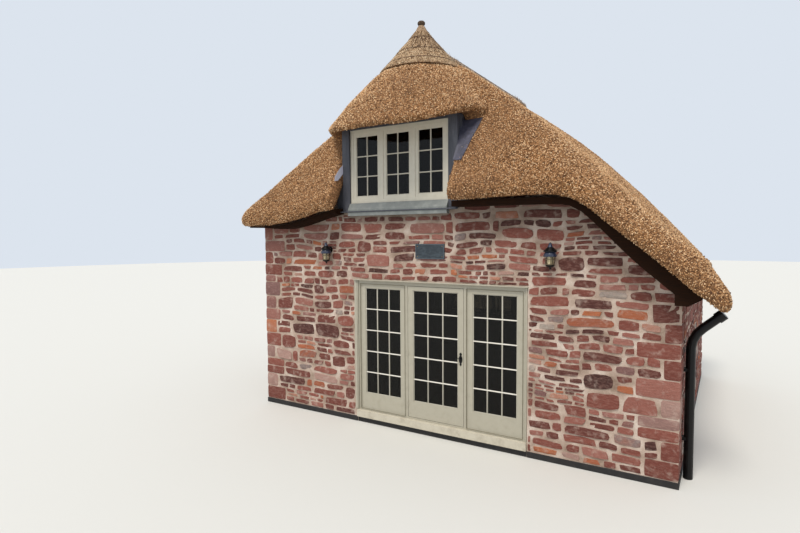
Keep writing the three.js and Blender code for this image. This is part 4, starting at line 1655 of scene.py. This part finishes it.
@dataclass
class ThatchCoat:
    """The weathered coat of reed over the whole roof, and the reed ends that stand out of it."""

    voxel: float = 0.045
    smoothing: float = 0.5
    passes: int = 3
    swell: float = 0.012
    swells: float = 2.1
    fine: float = 0.005
    fines: float = 9.0
    crease: float = 75.0
    bulges: tuple[Bulge, ...] = (RIGHT_SHOULDER, LEFT_TIP, BY_LEFT_CHEEK)

    def build(self) -> bpy.types.Object:
        """Builds the coat from a merged copy of the thatch, with soft dips and swells.

        Returns:
            The coat.
        """
        bm = bmesh.new()
        bm.from_mesh(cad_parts["thatch_roof"].data)
        bmesh.ops.remove_doubles(bm, verts=bm.verts, dist=0.00005)
        mesh = bpy.data.meshes.new("thatch_start")
        bm.to_mesh(mesh)
        bm.free()
        holder = linked("thatch_start", mesh)
        remesh = holder.modifiers.new("even", "REMESH")
        remesh.mode = "VOXEL"
        remesh.voxel_size = self.voxel
        soften = holder.modifiers.new("soft", "SMOOTH")
        soften.factor = self.smoothing
        soften.iterations = self.passes
        coat = settled(holder, "thatch_coat")
        moved = []
        for v in coat.vertices:
            push = self.swell * noise.noise(v.co * self.swells)
            push += self.fine * noise.noise(v.co * self.fines)
            spot = v.co + v.normal * push
            for bulge in self.bulges:
                spot = bulge.moved(spot, v.normal)
            moved.extend(spot)
        coat.vertices.foreach_set("co", moved)
        coat.update()
        piece = stand("thatch_coat", coat, HOUSE, THATCH, self.crease)
        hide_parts("thatch_roof")
        coat.materials.append(RIDGE_REED.material())
        for polygon in coat.polygons:
            polygon.material_index = int(near_ridge(np.array([polygon.center]))[0])
        ReedField("reed_ends", REED, zone=below_ridge).scatter(coat)
        return piece


@dataclass
class PeakAndRidge:
    """The laid straw of the peak and the ridge, and the hazel rods that hold it."""

    coat: bpy.types.Object
    centre: tuple[float, float] = (-0.545, -2.2)
    rings: tuple = (6.15, 5.91, 5.72)
    knot: float = 6.35
    rod: float = 0.007
    ridge_y: tuple[float, float] = (-1.2, 1.98)
    ridge_x: float = -0.53
    lines: tuple = (0.15, 0.29)
    bare: float = 0.12
    hoop_steps: int = 56
    cross_count: int = 24
    ridge_crosses: int = 14
    ridge_steps: int = 24
    knot_shape: tuple = (
        (0.0, -0.05), (0.085, -0.05), (0.064, 0.0), (0.046, 0.02), (0.044, 0.035),
        (0.06, 0.052), (0.062, 0.078), (0.046, 0.1), (0.0, 0.108),
    )

    def __post_init__(self) -> None:
        """Makes a search tree of the coat and the caps."""
        caps = [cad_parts[name].data for name in ("peak_cap", "ridge_cap")]
        self.tree = search_tree([self.coat.data, *caps])

    def on_peak(self, turn: float, height: float) -> Vector:
        """A point on the peak's surface.

        Args:
            turn: The angle about the peak's axis.
            height: The height.

        Returns:
            The point.
        """
        way = Vector((math.cos(turn), math.sin(turn), 0.0))
        axis = Vector((*self.centre, height))
        hit = self.tree.ray_cast(axis + way * 2.5, -way, 2.6)[0]
        return (hit or axis + way * 0.2) + way * (self.rod + 0.004)

    def on_ridge(self, x: float, y: float) -> Vector:
        """A point on the ridge's surface, seen from above."""
        hit = self.tree.ray_cast(Vector((x, y, 7.0)), DOWN, 3.0)[0]
        return (hit or Vector((x, y, 6.0))) - DOWN * (self.rod + 0.004)

    def below_knot(self, spots: np.ndarray) -> np.ndarray:
        """Which points of the peak lie below its knot."""
        return spots[:, 2] < self.knot - self.bare

    def peak(self) -> None:
        """Builds the peak's straw, its rings, the crosses on its right side and the knot on top."""
        straw = ReedField(
            "peak_straw", PEAK_STRAW, spacing=0.013, length=0.15, radius=0.006, stand_out=0.006,
            lean=(0.04, 0.2), spread=0.06, middle=(*self.centre, 0.0), zone=self.below_knot,
        )
        straw.scatter(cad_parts["peak_cap"].data)
        turns = [2 * math.pi * k / self.hoop_steps for k in range(self.hoop_steps)]
        hoops = [[self.on_peak(turn, height) for turn in turns] for height in self.rings]
        rods("peak_rings", hoops, self.rod, HAZEL, closed=True)
        crosses = []
        for k in range(self.cross_count):
            low, high = self.rings[1], self.rings[0]
            start, stop = (low, high) if k % 2 else (high, low)
            first = math.pi * (k / self.cross_count - 0.5)
            step = math.pi / (3 * self.cross_count)
            heights = [start + (stop - start) * s / 3 for s in range(4)]
            crosses.append([self.on_peak(first + step * s, z) for s, z in enumerate(heights)])
        rods("peak_crosses", crosses, self.rod * 0.6, HAZEL)
        knot = Build("peak_knot")
        knot.turned((*self.centre, self.knot), self.knot_shape)
        knot.set_down(HOUSE, KNOT_STRAW)

    def ridge(self) -> None:
        """Builds the ridge's straw, the rods along it and the crosses between them."""
        straw = ReedField(
            "ridge_straw", RIDGE_STRAW, spacing=0.0165, length=0.075, radius=0.0075,
            stand_out=0.006, lean=(0.05, 0.3), spread=0.12, sunk=0.022,
        )
        straw.scatter(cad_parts["ridge_cap"].data)
        replace(straw, name="ridge_skirt", seed=8, zone=near_ridge).scatter(self.coat.data)
        lines = []
        start, stop = self.ridge_y
        count = self.ridge_crosses
        steps = [start + (stop - start) * k / self.ridge_steps for k in range(self.ridge_steps + 1)]
        for side in (-1, 1):
            for off in self.lines:
                lines.append([self.on_ridge(self.ridge_x + side * off, y) for y in steps])
            for k in range(count):
                first, step = start + (stop - start) * k / count, (stop - start) / count / 3
                near, far = self.lines if k % 2 else self.lines[::-1]
                across = [self.ridge_x + side * (near + (far - near) * s / 3) for s in range(4)]
                lines.append([self.on_ridge(x, first + step * s) for s, x in enumerate(across)])
        rods("ridge_rods", lines, self.rod, HAZEL)

    def build(self) -> None:
        """Builds the peak and the ridge."""
        self.peak()
        self.ridge()


@dataclass
class Lights:
    """The glazing bars and beads of the door, its side lights and the windows."""

    upright: float = 0.019
    rail: float = 0.017
    front: float = 0.012
    bead: float = 0.012
    bead_out: float = 0.009
    slope: float = 0.0055
    step: float = 0.001

    def panes(
        self, name: str, glass: str, columns: int, rows: int, body: str,
        outward: float = -1.0, finish: Finish = BAR_PAINT,
    ) -> None:
        """Builds the bars that divide a pane, and the beads round it.

        Args:
            name: The name of the piece.
            glass: The pane's node.
            columns: How many panes there are across.
            rows: How many panes there are up.
            body: The body it moves with.
            outward: The sign of Y that points out of the building.
            finish: The finish of the bars.
        """
        low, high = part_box(glass)
        build = Build(name)
        rails = Build(name.replace("bars", "rails"))
        near, far = sorted((low.y - self.front, high.y + self.front))
        half = self.upright / 2
        for k in range(1, columns):
            x = low.x + (high.x - low.x) * k / columns
            build.bar((x - half, near, low.z), (x + half, far, high.z), self.slope)
        front, back = near - self.step, far + self.step
        for k in range(1, rows):
            z = low.z + (high.z - low.z) * k / rows
            under, over = z - self.rail / 2, z + self.rail / 2
            rails.bar((low.x, front, under), (high.x, back, over), self.slope)
        face = low.y if outward < 0 else high.y
        depth = sorted((face, face + outward * self.bead_out))
        build.surround(low, high, depth, self.bead, 0.002, 0.003)
        build.set_down(body, finish)
        # The rails get the paler paint: painted light on their tops.
        rails.set_down(body, LIT_RAIL_PAINT if finish is BAR_PAINT else finish)

    def build(self) -> None:
        """Builds the bars of every glazed piece."""
        self.panes("side_light_bars_left", "side_light_glass_left", 3, 5, HOUSE)
        self.panes("door_bars", "door_glass", 3, 5, LEAF)
        self.panes("side_light_bars_right", "side_light_glass_right", 3, 5, HOUSE)
        for place in ("left", "middle", "right"):
            glass = f"dormer_glass_{place}"
            self.panes(f"dormer_bars_{place}", glass, 2, 3, HOUSE, finish=LIT_SASH_PAINT)
        for place in ("left", "right"):
            glass = f"back_window_glass_{place}"
            self.panes(f"back_window_bars_{place}", glass, 4, 3, HOUSE, 1.0)


@dataclass
class DoorTrim:
    """The drip over the door set, the strip beside it, dark lines of painted shadow in its joints,
    and the handles.
    """

    drip_out: float = 0.036
    drip_high: float = 0.016
    strip: float = 0.048
    bead: tuple[float, float] = (0.004, 0.02)
    seam: float = 0.007
    seam_out: float = 0.0012
    plate_thick: float = 0.005
    plate_wide: float = 1.15
    plate_long: float = 1.09
    plate_rise: float = 0.008
    neck: float = 0.04
    lever: float = 0.0065
    knob: float = 0.0095
    screws: tuple = ((0.022, 0.0055), (0.156, 0.0045))
    plate_half: tuple = (
        (0.003, 0.0), (0.013, 0.01), (0.018, 0.022), (0.014, 0.033), (0.008, 0.042),
        (0.016, 0.05), (0.023, 0.064), (0.026, 0.084), (0.025, 0.106), (0.02, 0.126),
        (0.009, 0.142), (0.012, 0.15), (0.014, 0.158), (0.01, 0.168), (0.003, 0.178),
    )

    def build(self) -> None:
        """Builds the drip, the strip, the painted shadow lines and both handles."""
        low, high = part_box("door_frame")
        near, far = self.bead
        back, inner, foot = low.y + 0.006, low.y + 0.002, high.z + 0.001
        trim = Build("door_frame_trim")
        drip = (low.x - self.strip, low.y - self.drip_out, foot)
        trim.bar(drip, (high.x + 0.012, back, foot + self.drip_high), 0.003)
        for left, right, front, rear in (
            (low.x - self.strip, low.x - 0.002, low.y - 0.008, back),
            (low.x + near, low.x + far, low.y - 0.006, inner),
            (high.x - far, high.x - near, low.y - 0.006, inner),
        ):
            trim.bar((left, front, low.z), (right, rear, high.z), 0.003)
        trim.set_down(HOUSE, PAINT)
        # Painted shadow: thin dark strips round the side lights, where the joints of the frame are
        # in shade.
        shadow_lines = Build("door_frame_shadow_lines")
        half = self.seam / 2
        for name in ("side_light_left", "side_light_right"):
            a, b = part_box(name)
            front = min(a.y, low.y) - self.seam_out
            for x in (a.x, b.x):
                shadow_lines.bar((x - half, front, a.z), (x + half, inner, b.z), 0.0005)
            for z in (a.z, b.z):
                shadow_lines.bar((a.x + half, front, z - half), (b.x - half, inner, z + half), 0.0005)
        shadow_lines.set_down(HOUSE, GAP_SHADOW)
        self.handle("door_handle_outside", -1.0)
        self.handle("door_handle_inside", 1.0)

    def outline(self, x: float, top: float) -> list[tuple[float, float]]:
        """The wavy outline of a handle's back plate.

        Args:
            x: Its middle.
            top: Its top.

        Returns:
            Pairs of X and Z, in order.
        """
        wide, long = self.plate_wide, self.plate_long
        top += self.plate_rise
        steps = [(half * wide, top - down * long) for half, down in self.plate_half]
        return [(x + off, z) for off, z in steps] + [(x - off, z) for off, z in reversed(steps)]

    def handle(self, node: str, out: float) -> None:
        """Builds one handle with a wavy plate and a curled lever.

        Args:
            node: The node that it replaces.
            out: The sign of Y that points away from the door.
        """
        low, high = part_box(node)
        face = high.y if out < 0 else low.y
        front = face + out * self.plate_thick
        x = high.x - 0.022
        build = Build(node.replace("door_handle", "curled_handle"))
        build.plate(self.outline(x, high.z), front, face)
        hub = Vector((x, face, high.z - 0.08))
        neck = hub + Vector((0.0, out * self.neck, 0.0))
        build.rod(hub, neck, 0.011, 0.008)
        path = [neck]
        for k in range(1, 9):
            turn = k / 8 * math.pi
            curl = (-0.008 * k, out * 0.006 * math.sin(turn), 0.007 * math.sin(turn * 1.5))
            path.append(neck + Vector(curl))
        for first, second in zip(path, path[1:]):
            build.rod(first, second, self.lever, self.lever)
        build.ball(neck, self.knob)
        build.ball(path[-1], self.knob)
        for down, radius in self.screws:
            build.ball(Vector((x, front, high.z - down)), radius)
        piece = build.set_down(LEAF, IRON)
        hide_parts(node)


@dataclass
class Leadwork:
    """The welts on the dormer's cheeks, the flashings against the thatch and the sill's lip."""

    welt: float = 0.011
    welt_half: float = 0.012
    first_welt: float = 0.13
    spacing: float = 0.24
    run: Rectangle = (-3.17, -2.78, 0.13, 0.32)
    run_steps: int = 8
    search_from: float = 4.7
    search: float = 1.4
    soaker: tuple = (
        (-3.25, 3.87), (-3.17, 3.88), (-3.034, 4.0), (-3.034, 4.14), (-3.12, 4.07), (-3.24, 3.94)
    )
    soaker_off: float = 0.014
    apron: Rectangle = (0.12, 0.005, 3.45, 3.8)
    apron_thick: float = 0.012
    upstand: float = 0.06
    lip: float = 0.022
    thick: float = 0.004

    def flashing(self, tree: BVHTree) -> None:
        """Builds the lead strip that runs up the thatch beside the right cheek; it widens towards
        the top, where its dark lead is also painted shade for the shadow under the hood.

        Args:
            tree: A search tree of the coat.
        """
        build = Build("flashing_right")
        low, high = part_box("dormer_cheek_right")
        start, stop, narrow, wide = self.run
        rows: list[list[bmesh.types.BMVert]] = []
        for k in range(self.run_steps + 1):
            y = start + (stop - start) * k / self.run_steps
            strip = narrow + (wide - narrow) * k / self.run_steps
            hit, edge = (
                tree.ray_cast(Vector((high.x + off, y, self.search_from)), DOWN, self.search)[0]
                for off in (strip * 0.6, strip)
            )
            if hit is None:
                continue
            base = hit.z + 0.012
            spots = [
                (high.x + 0.003, y, base + (self.upstand if y > low.y else self.lip)),
                (high.x + 0.004, y, base + 0.02),
                (high.x + 0.05, y, base + 0.006),
                (high.x + strip, y, (edge or hit).z + 0.02),
            ]
            rows.append([build.bm.verts.new(spot) for spot in spots])
        for first, second in zip(rows, rows[1:]):
            for i in range(3):
                build.bm.faces.new((first[i], first[i + 1], second[i + 1], second[i]))
        bmesh.ops.recalc_face_normals(build.bm, faces=build.bm.faces)
        bmesh.ops.solidify(build.bm, geom=list(build.bm.faces), thickness=-self.thick)
        build.set_down(HOUSE, SHADED_FLASHING, 50.0)

    def welts(self) -> None:
        """Builds the upright welts of both cheeks, and the lead over their front edges."""
        build = Build("cheek_welts")
        for node, out in (("dormer_cheek_left", -1.0), ("dormer_cheek_right", 1.0)):
            low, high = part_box(node)
            face = low.x if out < 0 else high.x
            a, b = sorted((face - out * 0.003, face + out * self.welt))
            y, half = low.y + self.first_welt, self.welt_half
            while y < high.y:
                build.bar((a, y - half, low.z + 0.02), (b, y + half, high.z - 0.02), 0.004)
                y += self.spacing
            front = (low.x - 0.004, low.y - 0.008, low.z + 0.004)
            build.bar(front, (high.x + 0.004, low.y + 0.03, high.z - 0.004), 0.006)
        build.set_down(HOUSE, LEAD)

    def sill_lip(self) -> None:
        """Builds the lip that runs along the sill below the dormer."""
        low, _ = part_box("dormer_sill")
        left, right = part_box("dormer_cheek_left")[0].x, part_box("dormer_cheek_right")[1].x
        lip = Build("sill_lip")
        start = (left - 0.02, low.y - 0.014, low.z + 0.055)
        lip.bar(start, (right + 0.02, low.y + 0.05, low.z + 0.075), 0.006)
        lip.set_down(HOUSE, LEAD)

    def left_corner(self) -> None:
        """Builds new lead on the cut thatch by the left cheek, and the apron behind it."""
        low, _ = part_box("dormer_cheek_left")
        build = Build("flashing_left")
        near = low.x + self.soaker_off
        build.plate(self.soaker, near, near + self.thick)
        for v in build.bm.verts:
            v.co = v.co.yxz
        bmesh.ops.recalc_face_normals(build.bm, faces=build.bm.faces)
        build.set_down(HOUSE, NEW_LEAD)
        wide, off, bottom, top = self.apron
        back = FRONT_Y - off
        apron = Build("cheek_apron")
        start = (low.x - wide, back - self.apron_thick, bottom)
        apron.bar(start, (low.x - 0.002, back, top), 0.003)
        apron.set_down(HOUSE, LEAD)

    def build(self, coat: bpy.types.Object) -> None:
        """Builds the welts, the lip and the leads beside both cheeks.

        Args:
            coat: The coat of thatch.
        """
        self.welts()
        self.sill_lip()
        self.flashing(search_tree([coat.data]))
        self.left_corner()


@dataclass
class SmallParts:
    """The name plate's border and screws, and the lanterns' cages and bells."""

    screw: float = 0.006
    screw_in: float = 0.035
    border: float = 0.012
    foot: float = 0.053
    flare: float = 0.017
    wire: float = 0.004
    hoop: float = 0.006
    hoop_high: float = 0.009
    bell: tuple = (
        (0.074, -0.045), (0.085, -0.045), (0.087, -0.03), (0.07, 0.004), (0.054, 0.034),
        (0.038, 0.07), (0.024, 0.1), (0.018, 0.117), (0.018, 0.128), (0.0, 0.13),
    )

    def plate(self) -> None:
        """Builds the slate plate's raised border and its four screws."""
        low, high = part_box("name_plate")
        border = Build("name_plate_border")
        border.surround(low, high, (low.y - 0.003, low.y + 0.004), self.border)
        border.set_down(HOUSE, SLATE_EDGE)
        screws = Build("name_plate_screws")
        flat = Matrix.Rotation(math.pi / 2, 4, "X") @ Matrix.Diagonal((1, 1, 0.5, 1))
        for x in (low.x + self.screw_in, high.x - self.screw_in):
            for z in (low.z + self.screw_in, high.z - self.screw_in):
                place = Matrix.Translation((x, low.y - 0.001, z)) @ flat
                bmesh.ops.create_uvsphere(
                    screws.bm, u_segments=12, v_segments=6, radius=self.screw, matrix=place
                )
        screws.set_down(HOUSE, BRASS)

    def lanterns(self) -> None:
        """Builds the lanterns' wire cages and their blue-black bells."""
        cages = Build("lantern_cages")
        bells = Build("lantern_bells")
        for side in ("left", "right"):
            low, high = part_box(f"lantern_glass_{side}")
            middle, deep = (low + high) / 2, high.z - low.z
            for k in range(8):
                turn = math.pi / 8 + k * math.pi / 4
                way = Vector((math.cos(turn), math.sin(turn), 0.0))
                foot = Vector((middle.x, middle.y, low.z)) + way * self.foot
                head = Vector((middle.x, middle.y, high.z - 0.02)) + way * (self.foot + self.flare)
                cages.rod(foot, head, self.wire, self.wire)
            for share in (0.03, 0.45):
                radius = self.foot + self.flare * share
                near, far = radius - self.hoop, radius + self.hoop
                hoop = [(near, 0.0), (far, 0.0), (far, self.hoop_high), (near, self.hoop_high)]
                foot = (middle.x, middle.y, low.z + deep * share)
                cages.turned(foot, hoop + hoop[:1], 24)
            bells.turned((middle.x, middle.y, high.z), self.bell, 24)
        cages.set_down(HOUSE, CAGE)
        bells.set_down(HOUSE, ENAMEL)

    def build(self) -> None:
        """Builds every small part."""
        self.plate()
        self.lanterns()


class Coverings:
    """Which finish each node of the model has."""

    FINISHES: dict[str, Finish] = {
        "ground_floor": FLAGS,
        "upper_floor": FLOORBOARD,
        "door_step": BITUMEN,
        "door_sill": SILL_STONE,
        "threshold_board": FLOORBOARD,
        "ridge_cap": RIDGE_REED,
        "peak_cap": PEAK_REED,
        "dormer_cheek_left": LEAD,
        "dormer_cheek_right": LEAD,
        "dormer_sill": SILL_LEAD,
        "dormer_head": LEAD,
        "name_plate": SLATE,
        "rain_pipe": IRON,
        "thatch_roof": THATCH,
    }
    STARTS: tuple = (
        ("front_wall", MORTAR),
        ("left_wall", MORTAR),
        ("right_wall", MORTAR),
        ("back_wall", MORTAR),
        ("back_window_glass", GLASS),
        ("eave_board", BOARD),
        ("dormer_frame", LIT_SASH_PAINT),
        ("dormer_casement", LIT_SASH_PAINT),
        ("door_handle", IRON),
        ("lantern_glass", LAMP_GLASS),
        ("lantern", IRON),
    )

    @classmethod
    def finish_of(cls, name: str) -> Finish:
        """The finish of one node.

        Args:
            name: The node.

        Returns:
            Its finish.
        """
        if name in cls.FINISHES:
            return cls.FINISHES[name]
        for start, finish in cls.STARTS:
            if name.startswith(start):
                return finish
        return GLASS if "glass" in name else PAINT

    def build(self) -> None:
        """Gives every node of the model its finish."""
        for name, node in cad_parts.items():
            finish = self.finish_of(name)
            node.data.materials.clear()
            node.data.materials.append(finish.material())
            LOG.info("%s: %s", name, finish.name)


@dataclass
class PhotoCamera:
    """The camera at the photograph's place and angle."""

    place: Point = (3.765, -9.896, 3.002)
    lens: float = 23.99
    yaw: float = 31.661
    pitch: float = -3.292
    roll: float = -0.397
    sensor: float = 36.0
    far: float = 200.0

    def build(self) -> None:
        """Sets the camera up and makes it the scene's own."""
        yaw, pitch, roll = (math.radians(a) for a in (self.yaw, self.pitch, self.roll))
        flat = math.cos(pitch)
        ahead = Vector((-math.sin(yaw) * flat, math.cos(yaw) * flat, math.sin(pitch)))
        level = Vector((math.cos(yaw), math.sin(yaw), 0.0))
        above = level.cross(ahead)
        right = math.cos(roll) * level + math.sin(roll) * above
        up = -math.sin(roll) * level + math.cos(roll) * above
        turn = Matrix((right, up, -ahead)).transposed().to_4x4()
        data = bpy.data.cameras.new("camera")
        data.lens = self.lens
        data.sensor_width = self.sensor
        data.clip_end = self.far
        camera = linked("camera", data)
        camera.matrix_world = Matrix.Translation(self.place) @ turn
        bpy.context.scene.camera = camera


@dataclass
class Studio:
    """A pale floor, a soft pale sky and one wide sun."""

    sky: Colour = srgb(220, 228, 238)
    sky_strength: float = 1.0
    sun_strength: float = 2.6
    sun_angle: float = 22.0
    sun_colour: Point = (1.0, 0.95, 0.87)
    sun_from: Point = (0.06, -0.68, 1.15)
    floor: Colour = srgb(206, 204, 198)
    floor_radius: float = 60.0

    def build(self) -> None:
        """Builds the floor, the sky and the sun."""
        world = bpy.data.worlds.new("studio")
        world.use_nodes = True
        back = world.node_tree.nodes["Background"]
        back.inputs["Color"].default_value = self.sky
        back.inputs["Strength"].default_value = self.sky_strength
        bpy.context.scene.world = world
        data = bpy.data.lights.new("sun", "SUN")
        data.energy = self.sun_strength
        data.angle = math.radians(self.sun_angle)
        data.color = self.sun_colour
        sun = linked("sun", data)
        sun.rotation_euler = Vector(self.sun_from).to_track_quat("Z", "Y").to_euler()
        build = Build("studio_floor")
        bmesh.ops.create_circle(build.bm, cap_ends=True, segments=64, radius=self.floor_radius)
        mesh = bpy.data.meshes.new("studio_floor")
        build.bm.to_mesh(mesh)
        build.bm.free()
        paper = Plain("floor_paper", "floor", self.floor, self.floor, rough=0.9)
        mesh.materials.append(paper.material())
        linked("studio_floor", mesh)
        view = bpy.context.scene.view_settings
        view.view_transform = "Standard"
        view.look = "None"


def main() -> None:
    """Builds every sub-assembly in order."""
    logging.basicConfig(level=logging.INFO, format="%(name)s: %(message)s")
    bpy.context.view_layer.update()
    PhotoCamera().build()
    Studio().build()
    Coverings().build()
    RubbleWalls().build()
    DampCourse().build()
    coat = ThatchCoat().build()
    PeakAndRidge(coat).build()
    Lights().build()
    DoorTrim().build()
    Leadwork().build(coat)
    SmallParts().build()


if __name__ == "__main__":
    main()
